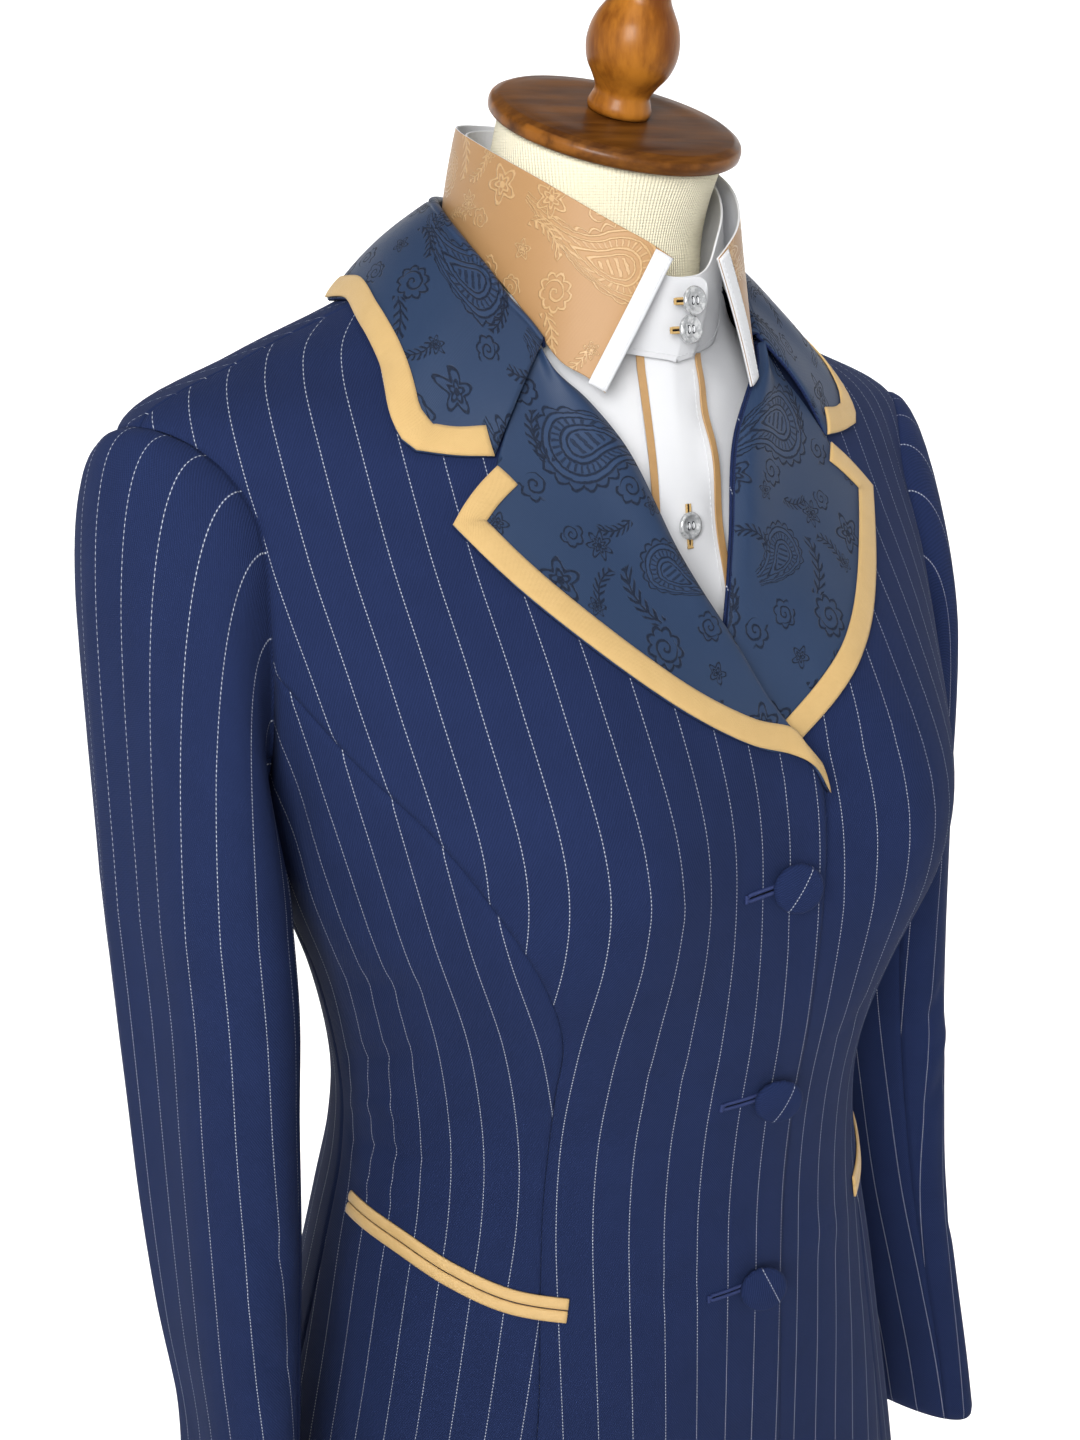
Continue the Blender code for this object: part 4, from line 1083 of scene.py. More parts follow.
# %% Lapels with their bindings
# x, station
LAPEL_EDGE = [(20.6, 8.93), (12, 9.21), (-9, 9.35), (-39, 9.66), (-68, 10.13), (-83, 10.45),
              (-110, 11.22)]
LAPEL_TOP = [(-110, 11.22), (-98, 11.50), (-87, 11.70)]
GORGE = [(-87, 11.70), (-80, 12.03), (-72, 12.42), (-64, 12.91), (-59, 13.25)]
PATTERN_TILT = 0.17   # slope of the silk's columns on the lapel


def lapel_leaf(word, way, outer, side):
    """Silk leaf over the front: ridge beside the fold, paisley run slantwise down it."""
    g = between(way, outer, spread(fine(7)))
    calm = np.clip((np.arange(len(outer)) / FINE - 3) / 5, 0, 1)[:, None]
    share = spread(fine(7))[None]
    ridge = 2.4 * np.exp(-((share - 0.10) / 0.16) ** 2) - 2.2 * np.exp(-(share / 0.05) ** 2)
    base = surface(*pair(g), 0.0)
    low = (front_drop(g, side) + (1.0 if side < 0 else 2.0) + ridge * calm
           + edge_roll(base, 0.5, 1.0))
    x, z = -side * base[..., 0], base[..., 2]
    uv = np.stack([x * 0.97 - z * PATTERN_TILT, z * 0.97 + x * PATTERN_TILT], -1)
    shell("lapel_" + word, body(*pair(g), low + 1.0), body(*pair(g), low - 0.5),
          [SILK, NAVY_PLAIN], uv)


def lapel_binding(word, path, side):
    """Gold strip round the lapel's edge; on the right it narrows to the lowest corner."""
    inner = inset(surface, path, BAND, side)
    if side < 0:
        inner[0] = edge_x([(18.4, 9.17)])[0]
        inner[1] = inner[0] * 0.45 + inner[2] * 0.55
    above = 2.2 if side < 0 else 3.2
    band("lapel_binding_" + word, refine(path, [14]), refine(inner, [14]),
         lambda g: above + front_drop(g, side), GOLD, body)


since = len(PIECES)
for side, word in SIDES:
    roll = edge_x(ROLL_RIGHT if side < 0 else ROLL_LEFT)[1:]
    rim = [edge_x(rows, -side) for rows in (LAPEL_EDGE, LAPEL_TOP, GORGE)]
    if side > 0:
        rim[0] = rim[0][2:]
        rim[0][0] = [th_of_x(2.0, 9.22), 9.22]
    outer = broken(rim, (13, 3, 4))
    last = len(outer) - 1
    k = np.interp(np.arange(last + 1), [0, 12 * FINE, 14 * FINE, last], [0, 38, 48, 60])
    lapel_leaf(word, line(roll, 601)[(k * 10).round().astype(int)], outer, side)
    lapel_binding(word, broken(rim[:2], (15, 4))[::FINE], side)
made(since)

# %% [markdown]
# ## Collar
# The collar stands up inside, folds over at the neck and falls to a rim with square ends.  A
# lofted tube could not keep those ends.  Here both leaves are one grid of columns: stand, the
# half circle of the fold, and the fall, which is a leaf drawn from the fold to the rim.

# %% Collar
COLLAR_END = [(-87, 11.78), (-101, 11.79), (-115, 11.84)]       # x, station
COLLAR_EDGE = [(-41.6, 11.84), (-49.5, 12.61), (-65.8, 13.62), (-86, 14.2), (-110, 14.15),
               (-140, 14.05), (-180, 14.0)]                      # angle, station
# x, y, z of the fold, wearer's right half
COLLAR_FOLD = [(-57.0, -41.5, 1402.0), (-59.5, -34.5, 1409.0), (-62.5, -26.5, 1415.5),
               (-66.0, -13.2, 1427.8), (-67.5, 0.5, 1437.0), (-63.5, 27.5, 1449.4),
               (-47.5, 56.2, 1454.3), (-24.0, 73.5, 1453.0), (0.0, 79.3, 1452.0)]
# share of the way round from gorge to back, drop of the collar's stand, its spread
STAND = [(0, 3, -1), (0.12, 4, 0), (0.25, 6, 2), (0.4, 10, 6), (0.6, 18, 7), (1, 26, 7)]
FOLD_R = 2.3          # half the thickness of the folded edge
FALL_COL = 15         # first column of the fall
UP = np.array([0, 0, 1.0])


def draped(fold, rim, bow):
    """Leaf from a fold to its rim: on(station, way, off), way 0 at the fold, bowed by sin."""
    out = unit(np.cross(np.gradient(fold, axis=0), rim - fold))
    out *= np.sign(out @ UP)[:, None]
    tab = np.hstack([np.arange(len(fold))[:, None], fold, rim, out])

    def on(i, u, off=0.0):
        row = smooth(tab, i)
        f, r, o = row[..., 0:3], row[..., 3:6], row[..., 6:9]
        u = np.asarray(u, float)[..., None]
        rise = bow * np.sin(np.pi * np.clip(u, 0, 1)) + np.asarray(off, float)[..., None]
        return f * (1 - u) + r * u + o * rise
    return on


def collar_lines():
    """Fold, rim and stand table round the whole neck, right half and then left."""
    halves = []
    for side in (-1, 1):
        rim = broken([edge_x(COLLAR_END, -side), edge(COLLAR_EDGE, -side)], (3, 12))
        fold = leaned(line(COLLAR_FOLD, len(rim)) * np.array([-side, 1, 1]))
        stand = smooth(STAND, np.linspace(0, 1, len(rim)))
        halves.append((fold, body(*pair(rim), 2.6), stand))
    return (np.concatenate([r, l[::-1][1:]]) for r, l in zip(*halves))


fold, rim, stand = collar_lines()
fall = draped(fold, rim, 3.0)
stations = np.arange(len(fold))
toward = unit(np.stack([-fold[:, 0], 12 - fold[:, 1], 0 * fold[:, 0]], -1))
foot = fold + toward * (2 * FOLD_R - stand[:, 1:]) - stand[:, :1] * UP
print("collar fold, mm:", round(float(run(fold)[-1])), "rim, mm:", round(float(run(rim)[-1])))

# %% Collar columns and binding
cols = [foot * (1 - t) + (fold + toward * 2 * FOLD_R - UP) * t for t in np.linspace(0, 1, 8)]
cols += [fold + toward * (FOLD_R + FOLD_R * math.cos(t))
         + UP * (1.8 * math.sin(t) - 1.0 + t / math.pi) for t in np.linspace(0, math.pi, 9)[1:-1]]
cols += [fall(stations, np.full(len(fold), u)) for u in spread(31)]
grid = np.stack(cols, 1)
n = normals(grid, (fold + toward * FOLD_R - 8.0 * UP)[:, None])
down, along = run(grid, 1), run(fold)
uv = np.stack([(along - along[len(fold) // 2])[:, None] + 9.0 + 0 * down,
               down - down[:, FALL_COL:FALL_COL + 1] + 20.0], -1)
grid[:, FALL_COL:] += n[:, FALL_COL:] * edge_roll(grid[:, FALL_COL:], 0.5, 1.0)[..., None]
since = len(PIECES)
shell("collar", grid, grid - n * 1.3, [SILK, NAVY_PLAIN], uv)
path = np.stack([stations, np.full(len(fold), 0.998)], -1)[::FINE]
corner = [2, len(path) - 3]
band("collar_binding", refine(path, corner), refine(inset(fall, path, BAND, -1), corner), 0.3,
     GOLD, fall)
made(since)

# %% [markdown]
# ## Pocket lips
# A jetted pocket is a slit between two narrow lips of satin.  The slit could be cut through the
# front.  It is closed on a dressed form, so two plump strips side by side show all there is.

# %% Pockets
POCKET = [(-37.4, 4.10), (-48.2, 4.17), (-60.6, 4.34), (-72.7, 4.51), (-90.0, 4.60)]
JET = 5.6             # from the slit to the far edge of a lip

since = len(PIECES)
for side, word in SIDES:
    slit = line(edge(POCKET, -side), 81)
    for stem, turn in (("pocket_jet_upper_", side), ("pocket_jet_lower_", -side)):
        band(stem + word, inset(surface, slit, 0.35, turn), inset(surface, slit, JET, turn), 0.3,
             JET_SATIN, body, thick=1.5)
made(since)

# %% [markdown]
# ## Covered buttons and worked holes
# The buttons are discs wrapped in the suiting, a little gathered round the rim; each hole beside
# them is two rows of thread laid over a cord, with a bar at the end.  A cylinder with a bump map
# would give neither the dome nor the gathers.  A profile is turned to rings, the rings are
# gathered, and thread is a tube whose radius swells at every wrap.

# %% Turned forms and thread
def turned(profile, at, tilt=0.0, segments=96, steps=6, turn=0.0):
    """Rings of a turned form; rows (radius, height) are joined by a cubic, then tilted."""
    prof = np.asarray(profile, float)
    k = run(prof)
    way = smooth(np.column_stack([k, prof]), np.linspace(0, k[-1], (len(prof) - 1) * steps + 1))
    t = circle(segments)
    r, h = way[:, :1], way[:, 1:]
    flat = np.stack([r * np.cos(t), r * np.sin(t), h + 0 * t], -1)
    a, b = math.radians(tilt), math.radians(turn)
    x, y = flat[..., 0], flat[..., 1] * math.cos(a) - flat[..., 2] * math.sin(a)
    z = flat[..., 1] * math.sin(a) + flat[..., 2] * math.cos(a)
    placed = np.stack([x * math.cos(b) - y * math.sin(b), x * math.sin(b) + y * math.cos(b), z], -1)
    return placed + np.asarray(at, float), flat


def ring_round(p, a, b, r, sides):
    """Rings of radius r round points p in the plane of a and b."""
    w = circle(sides)
    return p[:, None] + r[:, None, None] * (np.cos(w)[None, :, None] * a
                                            + np.sin(w)[None, :, None] * b)


def tube(points, radius, sides=8, pitch=1.0, deep=0.0):
    """Rings round a path; radius * (1 + deep cos(2 pi length / pitch)), like wrapped thread."""
    p = np.asarray(points, float)
    t = unit(np.gradient(p, axis=0))
    a = unit(np.cross(t, np.array([0.3, -0.7, 0.64])))
    r = radius * (1 + deep * np.cos(2 * np.pi * run(p) / pitch))
    return ring_round(p, a[:, None], np.cross(t, a)[:, None], r, sides)


def worked_hole(on, x0, x1, lift, half, thread):
    """Corded buttonhole from x0 to x1: two wrapped cords, a bar at the end, and a dark tube of
    painted shadow for the slit.
    """
    q = np.linspace(0, 1, max(int(abs(x1 - x0) / 0.14), 24))
    x = x0 + (x1 - x0) * q
    apart = half * np.sin(np.pi * np.clip(q * 6, 0, 0.5))
    many = [tube(on(x, apart * k, lift), thread, 8, 0.62, 0.24) for k in (-1, 1)]
    bar = on(np.full(20, x0), np.linspace(-1.35, 1.35, 20) * half, lift + 0.1)
    many.append(tube(bar, thread * 1.05, 8, 0.6, 0.2))
    # the slit is a dark tube sunk under the cords: painted shadow of the opening
    return many, tube(on(x, 0 * q, lift - 0.45), half * 0.55, 6)


print("rings of a 10 mm thread:", len(tube(np.linspace([0, 0, 0], [10, 0, 0], 70), 0.5)))

# %% Buttons and holes of the jacket
BUTTON_R = 10.6
BUTTON_TURN = -24.0   # covered buttons lean on their shanks, towards the wearer's right
BUTTON_ROWS = [(2.2, -2.4), (2.4, 0.4), (5.5, 0.9), (BUTTON_R - 1.6, 1.3), (BUTTON_R - 0.2, 2.3),
               (BUTTON_R, 3.3), (BUTTON_R - 0.9, 4.6), (BUTTON_R - 3.2, 5.4),
               (BUTTON_R - 6.5, 6.0), (0.6, 6.3)]
BUTTONS = [(1192.0, -0.5), (1095.0, -0.42), (1000.0, 0.45)]      # height, slant of the stripe


def button_place(z):
    """Station, place and tilt of a button on the front's middle line."""
    s = np.interp(z, BODY[:, 1], BODY[:, 0])
    for _ in range(5):
        s += (z - smooth(BODY, s)[0]) / 45
    at = surface(0.0, s, 3.9)
    out = surface(0.0, s, 4.9) - at
    return s, at, math.degrees(math.atan2(-out[1], out[2]))


def covered_button(k, at, tilt, slant):
    """Domed button with 17 gathers round the rim and one stripe run across it."""
    rings, flat = turned(BUTTON_ROWS, at, tilt, 96, 5, BUTTON_TURN)
    x, y, high = np.moveaxis(flat, -1, 0)
    fold = 0.22 * np.sin(np.arctan2(y, x) * 17 + k) * np.exp(-((high - 1.8) / 1.2) ** 2)
    rings += fold[..., None] * (rings - rings.mean(1, keepdims=True)) / BUTTON_R
    c, s = math.cos(slant), math.sin(slant)
    uv = np.stack([x * c + y * s + STRIPE * 4 - 1.5 * k + 1, y * c - x * s], -1)
    rings_mesh("cloth_button_%d" % k, rings, NAVY, uv)


def front_line(s):
    """Surface of the front about station s: on(x, mm up, lift)."""
    def on(x, v, lift):
        st = s + np.asarray(v) / MM_PER_STATION
        return body(th_of_x(np.asarray(x) + 0 * st, st), st, lift)
    return on


since = len(PIECES)
cords, slits = [], []
for k, (z, slant) in enumerate(BUTTONS, 1):
    s, at, tilt = button_place(z)
    covered_button(k, at, tilt, slant)
    many, slit = worked_hole(front_line(s), -25.5, 3.5, 0.35, 1.15, 0.72)
    cords += many
    slits.append(slit)
joined_rings("jacket_buttonholes", cords, THREAD)
# dark tubes along the jacket's slits: painted shadow
joined_rings("jacket_buttonhole_slit_shadow", slits, DARK)
made(since)

# %% [markdown]
# ## Shirt fronts and back
# Only the chest and the collar of the shirt show, but a jacket that is opened or reused needs the
# rest.  It could stop at the jacket's edge.  It is made whole instead: two fronts and a back of
# poplin on the shirt's own surface, under the jacket and hollow between the busts.

# %% Shirt panels
SHIRT_WALL = 0.9
SHIRT_NECK = [(2.1, 13.3), (20, 13.65), (45, 14.85), (70, 15.5), (SHOULDER - 5, 15.8)]


def shirt_panel(node, g, mat, low=0.0, thick=SHIRT_WALL, on=chest):
    """Thin sheet over a grid of a surface."""
    p = on(*pair(g), low)
    shell(node, p, on(*pair(g), low - thick), [mat], strip_uv(p))


def shirt_edge(at, a0, a1, gap, side):
    """Side seam at an angle, armhole from a0 to a1, and shoulder."""
    low = line(to_armhole([(at, 1.0), (at, 4), (at, 7)], a0, side), 28)
    return np.concatenate([low, arc(a0, a1, 31, side), shoulder(gap, 15.8, 13, side)])


since = len(PIECES)
for side, word in SIDES:
    outer = shirt_edge(97, 186, 0, -0.1, side)
    neck = line(edge(SHIRT_NECK, side), 19)[1:]
    rows = np.interp(np.linspace(0, 1, len(outer) - len(neck)), [0, 0.4, 1], [1.0, 7.6, 13.3])
    inner = np.concatenate([edge_x([(0.9, s) for s in rows], side), neck])
    shirt_panel("shirt_front_" + word, between(inner, outer, np.linspace(0, 1, 31)), WHITE)
right, left = (shirt_edge(97.2, 186.3, 358.5, 0.1, side) for side, _ in SIDES)
left = left - np.array([2 * math.pi, 0])
shirt_panel("shirt_back", between(right, left, np.linspace(0, 1, 41)), WHITE)
made(since)

# %% [markdown]
# ## Placket and pipings
# The buttoned strip down the front is folded double, and gold cord in satin is caught in each of
# its edges.  Painted lines would be flat.  Three narrow grids lie one above the other, and all
# follow the same soft waves of the front.

# %% Placket
def shirt_front(x, s, off=0.0):
    """Shirt front by x and station, with waves 1.1 sin(5.2 s) beside the placket."""
    x = np.asarray(x, float)
    wave = (1.1 * np.exp(-((x - 17) / 6) ** 2) * np.sin((s - 10.2) * 5.2)
            * np.clip((13.2 - s), 0, 1))
    return chest(th_of_x(x, s), s, off + wave)


def upright(x0, x1, s, share):
    """Grid of x and station between two upright lines."""
    return between(np.stack([x0 + 0 * s, s], -1), np.stack([x1 + 0 * s, s], -1), share)


since = len(PIECES)
rows = np.linspace(1.0, 13.3, 220)
shirt_panel("placket", upright(-17.0, 17.0, rows, spread(25)), WHITE, 2.7, 0.9, on=shirt_front)
drift = 1.32 * np.exp(-((rows - 12.2) / 0.8) ** 2)
for side, word in SIDES:
    g = upright(side * 15.2 + drift, side * 18.6 + drift, rows, spread(25)[::3])
    shirt_panel("piping_" + word, g, PIPING, 3.6, 0.7, shirt_front)
made(since)

# %% [markdown]
# ## Shirt stand
# A white band stands round the neck and carries the collar; its rounded ends overlap in front.
# A ring cut open would have square ends on one level.  The band is walked once round and a bit
# more, 381 degrees, slipping from 2 mm outside to 2 mm inside, and its ends are lowered as a
# quarter circle.

# %% Stand
# angle, then x, y, z of the top edge, wearer's right half
STAND_TOP = [(0, 0, -61.5, 1427), (9, -10, -61, 1428), (16, -17, -58.5, 1431),
             (26, -26, -53, 1441), (40, -37, -43, 1450.5), (60, -46.5, -27, 1461),
             (82, -51.5, -8, 1469.5), (100, -52, 10, 1475.5), (120, -47.5, 29, 1480.5),
             (145, -34, 48, 1483.5), (165, -17, 59, 1484.5), (180, 0, 62.5, 1484.5)]
STAND_FOOT = [(0, 13.4), (20, 13.7), (45, 14.9), (70, 15.6), (90, 15.9), (180, 15.9)]

n = 241
q = np.linspace(0, 1, n)
wrap = (10.5 - 381 * q + 180) % 360 - 180
hand = np.where(wrap > 0, 1.0, -1.0)
top = smooth(STAND_TOP, np.abs(wrap)) * np.stack([-hand * 0.965, 0 * q + 0.965, 0 * q + 1], -1)
ends = np.clip(np.minimum(q, 1 - q) * (n - 1) / 4.5, 0, 1)
top[:, 2] -= 9.0 * (1 - np.sqrt(np.clip(1 - (1 - ends) ** 2, 0, 1)))
low = np.clip((42 - np.abs(wrap)) / 20, 0, 1)
foot = chest(np.radians(wrap), smooth(STAND_FOOT, np.abs(wrap))[:, 0] + 0.06 - 0.34 * low,
             1.5 + 1.6 * low)
axis = unit(np.stack([top[:, 0], top[:, 1] - 2, 0 * q], -1))
slip = (2.0 - 4.0 * q)[:, None] * axis
grid = np.stack([foot * (1 - t) + top * t + slip + axis * 0.9 * math.sin(math.pi * t)
                 for t in spread(19)], 1)
since = len(PIECES)
shell("shirt_stand", grid, grid - axis[:, None] * SHIRT_WALL, [WHITE], strip_uv(grid))
made(since)

# %% [markdown]
# ## Stitches
# Topstitching is a row of short thread bridges with a gap at every needle hole.  A dashed bump
# would vanish at an angle.  Each stitch is a tiny spindle, thin at both ends.

# %% Rows of stitches
def stitch_row(path, length, radius):
    """Spindles of this length end to end along a path, half a millimetre apart."""
    k = run(path)
    out = []
    for n in range(int(k[-1] / (length + 0.5))):
        t = n * (length + 0.5) + length * np.array([0.0, 0.25, 0.75, 1.0])
        p = np.stack([np.interp(t, k, path[:, c]) for c in range(3)], -1)
        d = unit(p[-1] - p[0])
        u = unit(np.cross(d, [0.2, 0.9, 0.38]))
        out.append(ring_round(p, u, np.cross(d, u), radius * np.array([0.35, 1.0, 1.0, 0.35]), 5))
    return out


stand_stitches = stitch_row((foot * 0.93 + top * 0.07 + slip + axis * 0.45)[::-1], 1.9, 0.15)
print("stitches round the stand:", len(stand_stitches))

# %% [markdown]
# ## Shirt collar
# The gold leaf falls from the top of the stand, is lined with white, and has a white strip
# stitched along each front end.  It is the same kind of leaf as the jacket's collar, mirrored
# from its right half, because both sides are cut from one pattern.

# %% Collar leaf and its white ends
# x, y, z of the fold and of the rim, wearer's right half
SHIRT_FOLD = [(-11.5, -65.5, 1434.5), (-20, -62, 1440), (-30, -55.5, 1446), (-40, -45, 1453.5),
              (-49, -29, 1462.5), (-54, -8, 1471), (-54.5, 10, 1477), (-50, 30, 1482),
              (-36, 50, 1485), (-18, 61, 1486), (0, 64.5, 1486)]
SHIRT_RIM = [(-38.5, -58, 1382.5), (-44, -54.5, 1388), (-50, -46, 1393), (-54.5, -32, 1407),
             (-58, -15, 1422), (-59.5, 2, 1431), (-58, 19, 1437), (-51.5, 42.5, 1442),
             (-33, 62, 1444), (-15.5, 68, 1445), (0, 69.5, 1445)]


def both_halves(table, n):
    """Line through the table and on through its mirror image, leaned."""
    half = line(table, n)
    return leaned(np.concatenate([half, (half * np.array([-1, 1, 1]))[::-1][1:]]))


fold, rim = both_halves(SHIRT_FOLD, 91), both_halves(SHIRT_RIM, 91)
leaf = draped(fold, rim, 0.8)
stations = np.arange(len(fold) + 0.0)
grid = np.stack([leaf(stations, np.full(len(fold), u)) for u in spread(25)], 1)
n = normals(grid, ((fold + rim) / 2 * np.array([0.3, 0.3, 1]))[:, None])
since = len(PIECES)
shell("shirt_collar", grid, grid - n * SHIRT_WALL, [SATIN, WHITE],
      strip_uv(grid)[..., ::-1] + 13.0)
stitches = []
for word, first, turn in (("right", 0.05, -1), ("left", len(fold) - 1.05, 1)):
    near = np.stack([np.full(40, first), np.linspace(0.005, 0.995, 40)], -1)
    band("collar_edge_" + word, near, inset(leaf, near, 8.0, turn), 0.25, WHITE, leaf, 0.75)
    for dist in (1.6, 6.6):
        stitches += stitch_row(leaf(*pair(inset(leaf, near, dist, turn)), 1.05), 1.9, 0.16)
made(since)

# %% [markdown]
# ## Shell buttons
# The shirt's small buttons are cut from grey shell: a rim, a sunk middle, four eyes with thread
# through them.  Bands of light and dark change softly across the shell, which noise put through
# a sine gives; an even grey would look like plastic.

# %% Shell, buttons and gold holes
SHIRT_BUTTON_R = 5.8
SHELL_ROWS = [(SHIRT_BUTTON_R - 1.6, 0), (SHIRT_BUTTON_R - 0.3, 0.5), (SHIRT_BUTTON_R, 1.3),
              (SHIRT_BUTTON_R - 0.5, 2.1), (SHIRT_BUTTON_R - 1.2, 2.35),
              (SHIRT_BUTTON_R - 1.9, 2.0), (SHIRT_BUTTON_R - 2.6, 1.6), (0.3, 1.55)]
EYE = 1.15            # eyes sit this far from both middle lines


def pearl_shell(name):
    """Grey shell: bands 0.5 + 0.5 sin(22 noise) with a clear gloss."""
    pen = Pen(name)
    swirl = pen.noise(pen.place(), 260.0, 4.0, 0.6)
    bands = pen.sine(swirl * 22.0) * 0.5 + 0.5
    colour = pen.blend(bands * 0.6 + swirl * 0.3, (0.30, 0.31, 0.32), (0.78, 0.79, 0.80))
    return pen.finish(colour, 0.16 + bands * 0.10, swirl, 0.00008, Metallic=0.35,
                      Coat_Weight=0.6, Coat_Roughness=0.08)


def button_plane(at, tilt, upright_hole):
    """Surface just over a button's place: on(x, v, lift), turned for the upright hole."""
    a, b = tilted(tilt)

    def on(x, v, lift):
        x, v = np.broadcast_arrays(np.asarray(x, float), np.asarray(v, float))
        u, w = (v, x) if upright_hole else (x, v)
        return np.asarray(at) + u[..., None] * X_AXIS + w[..., None] * a + (lift + 0.35) * b
    return on


def tilted(tilt):
    """The y and z directions turned about x."""
    c, s = math.cos(math.radians(tilt)), math.sin(math.radians(tilt))
    return np.array([0, c, s]), np.array([0, -s, c])


X_AXIS = np.array([1, 0, 0.0])
PEARL = pearl_shell("grey_pearl")
out = chest(0.0, 11.08, 2.0) - chest(0.0, 11.08, 1.0)
PLACES = [((0, -64.2, 1418.2), 82.0), ((0, -62.2, 1406.8), 82.0),
          (chest(0.0, 11.08, 3.1), math.degrees(math.atan2(-out[1], out[2])))]
since = len(PIECES)
cords, slits, eyes, threads = [], [], [], []
for k, (at, tilt) in enumerate(PLACES, 1):
    rings_mesh("fine_shirt_button_%d" % k, turned(SHELL_ROWS, at, tilt, 64, 4)[0], PEARL)
    a, b = tilted(tilt)
    for x in (-EYE, EYE):
        for y in (-EYE, EYE):
            # the eyes are not cut through: a dark disc at the sunk middle is painted shadow in each
            # hole
            disc = np.asarray(at) + X_AXIS * x + a * y + np.outer([1.50, 1.66], b)
            eyes.append(ring_round(disc, X_AXIS, a, np.full(2, 0.62), 12))
        t = np.linspace(-1, 1, 9)[:, None]
        bridge = np.asarray(at) + X_AXIS * x + a * EYE * t + b * (1.7 + 0.45 * (1 - t * t))
        threads.append(tube(bridge, 0.28, 6))
    x0, x1 = (-9.0, 9.0) if k == 3 else (-9.5, 1.5)
    many, slit = worked_hole(button_plane(at, tilt, k == 3), x0, x1, 0.0, 0.95, 0.5)
    cords += many
    slits.append(slit)
joined_rings("shirt_buttonholes", cords, GOLD_THREAD)
# dark tubes along the shirt's slits: painted shadow
joined_rings("shirt_buttonhole_slit_shadow", slits, DARK)
# dark discs for the eyes: painted shadow
joined_rings("button_eyes", eyes, DARK)
joined_rings("button_threads", threads, WHITE)
for x in (-13.6, 13.6):
    stitches += stitch_row(shirt_front(np.full(300, x), np.linspace(7.5, 13.1, 300), 2.85),
                           1.9, 0.16)
joined_rings("shirt_stitches", stitches + stand_stitches, WHITE)
made(since)

# %% [markdown]
# ## Jersey and varnished wood
# The form is covered with ribbed cotton jersey; its cap, finial, pole and base are turned and
# varnished.  Photographs of wood would end in seams on a turned shape.  Noise squeezed along one
# axis is grain that goes right through the solid, and the varnish is a thin second gloss over it.

# %% Jersey and wood
def jersey_knit(name):
    """Cream rib knit: wales sin(200 angle) run up the form, fine courses across them."""
    pen = Pen(name)
    where = pen.place()
    x, y, z = pen.split(where)
    wale = pen.sine(pen.math("ARCTAN2", x, y + 0.003) * 200.0)
    course = pen.sine(z, 0.0011)
    fuzz = pen.noise(where, 1400.0, 3.0)
    cloud = pen.noise(where, 16.0, 3.0)
    colour = pen.blend(cloud * 0.6 + fuzz * 0.3 + wale * 0.12, (0.84, 0.77, 0.55),
                       (0.92, 0.86, 0.66))
    return pen.finish(colour, 0.88, wale * 0.7 + course * 0.25 + fuzz * 0.5, 0.00022,
                      Sheen_Weight=0.3, Sheen_Roughness=0.6, Specular_IOR_Level=0.2)


def varnished(name, dark, light, rim, scale, along):
    """Brown wood under varnish: long grain, dark pores, and a lighter ring near the rim."""
    pen = Pen(name)
    where = pen.place()
    x, y, z = pen.split(where)
    long = pen.node("ShaderNodeCombineXYZ", X=x * along[0], Y=y * along[1], Z=z * along[2])
    streak = pen.noise(long, scale, 5.0, 0.62)
    pores = pen.noise(long, scale * 5.0, 3.0, 0.6)
    colour = pen.blend(pen.step(streak * 0.85 + pores * 0.25, 0.38, 0.72), dark, light)
    if rim is not None:
        # lighter ring near the rim, up to 1.8 times the light wood, broken by noise
        dy = y + 0.0135
        far = pen.math("SQRT", x * x + dy * dy * 1.12)
        lighter_rim = (pen.step(far, rim * 0.955, rim * 0.985)
                * pen.step(pen.noise(where, 95.0, 3.0), 0.38, 0.62))
        colour = pen.blend(lighter_rim * 0.55, colour, scaled(light, 1.8))
    return pen.finish(colour, 0.30 + pores * 0.12, pores * 0.4 + streak * 0.3, 0.00015,
                      Coat_Weight=0.08, Coat_Roughness=0.16, Specular_IOR_Level=0.16)


JERSEY = jersey_knit("cream_jersey")
WOOD = varnished("cap_wood", (0.052, 0.015, 0.002), (0.185, 0.066, 0.009), 0.0530, 34.0,
                 (0.25, 1.6, 1.6))
PLANK = varnished("base_wood", (0.10, 0.028, 0.004), (0.30, 0.105, 0.014), None, 30.0,
                  (0.12, 1.6, 1.6))
POLISH = varnished("turned_wood", (0.14, 0.038, 0.004), (0.39, 0.145, 0.016), None, 40.0,
                   (1.3, 1.3, 0.3))
print("materials:", len(bpy.data.materials))

# %% [markdown]
# ## Dress form
# The form carries the suit: a padded body and neck, a turned cap with a finial, a pole and a
# round base.  The body could be the trunk itself, but then cloth would touch it everywhere; it
# keeps a few millimetres inside the shirt.  All wooden parts are profiles turned like on a lathe.

# %% Body, cap, finial, pole and base
NECK_TILT, POLE_R, BASE_R, BASE_H = 20.0, 14.0, 165.0, 32.0
# height, middle y, radius, tilt
NECK_RINGS = [(1424, 3.5, 46.5, 3), (1450, 2.0, 47.0, 11), (1466, -3.5, 46.8, 16),
              (1482.3, -10.8, 47.5, 20)]
CAP_AT = (0, -13.5, 1490)
CAP = [(44, -8.0), (50.6, -7.9), (52.6, -6.9), (53, -5.0), (52.9, -3.2), (52.0, -1.7),
       (50.6, -1.3), (50.0, -0.6), (47.0, -0.15), (30, 0.25), (14, 0.4)]
FINIAL = [(12.8, 0.8), (13.4, 3), (12.4, 6), (11.5, 9), (13.4, 13), (17.2, 19), (18.9, 26),
          (18.6, 31), (16.6, 37.5), (13.6, 42.5), (11.5, 46), (11, 52), (12.5, 58), (15, 66),
          (15.5, 74), (13, 82), (8, 88), (2, 90)]
BASE = [(BASE_R - 4, 0), (BASE_R - 1, 1), (BASE_R, 4), (BASE_R, 12), (BASE_R - 2, 15.5),
        (BASE_R - 6, 17.5), (BASE_R - 14, 18.4), (BASE_R - 40, 21.5), (60, 26), (38, 29.5),
        (32, BASE_H - 0.3), (20, BASE_H)]

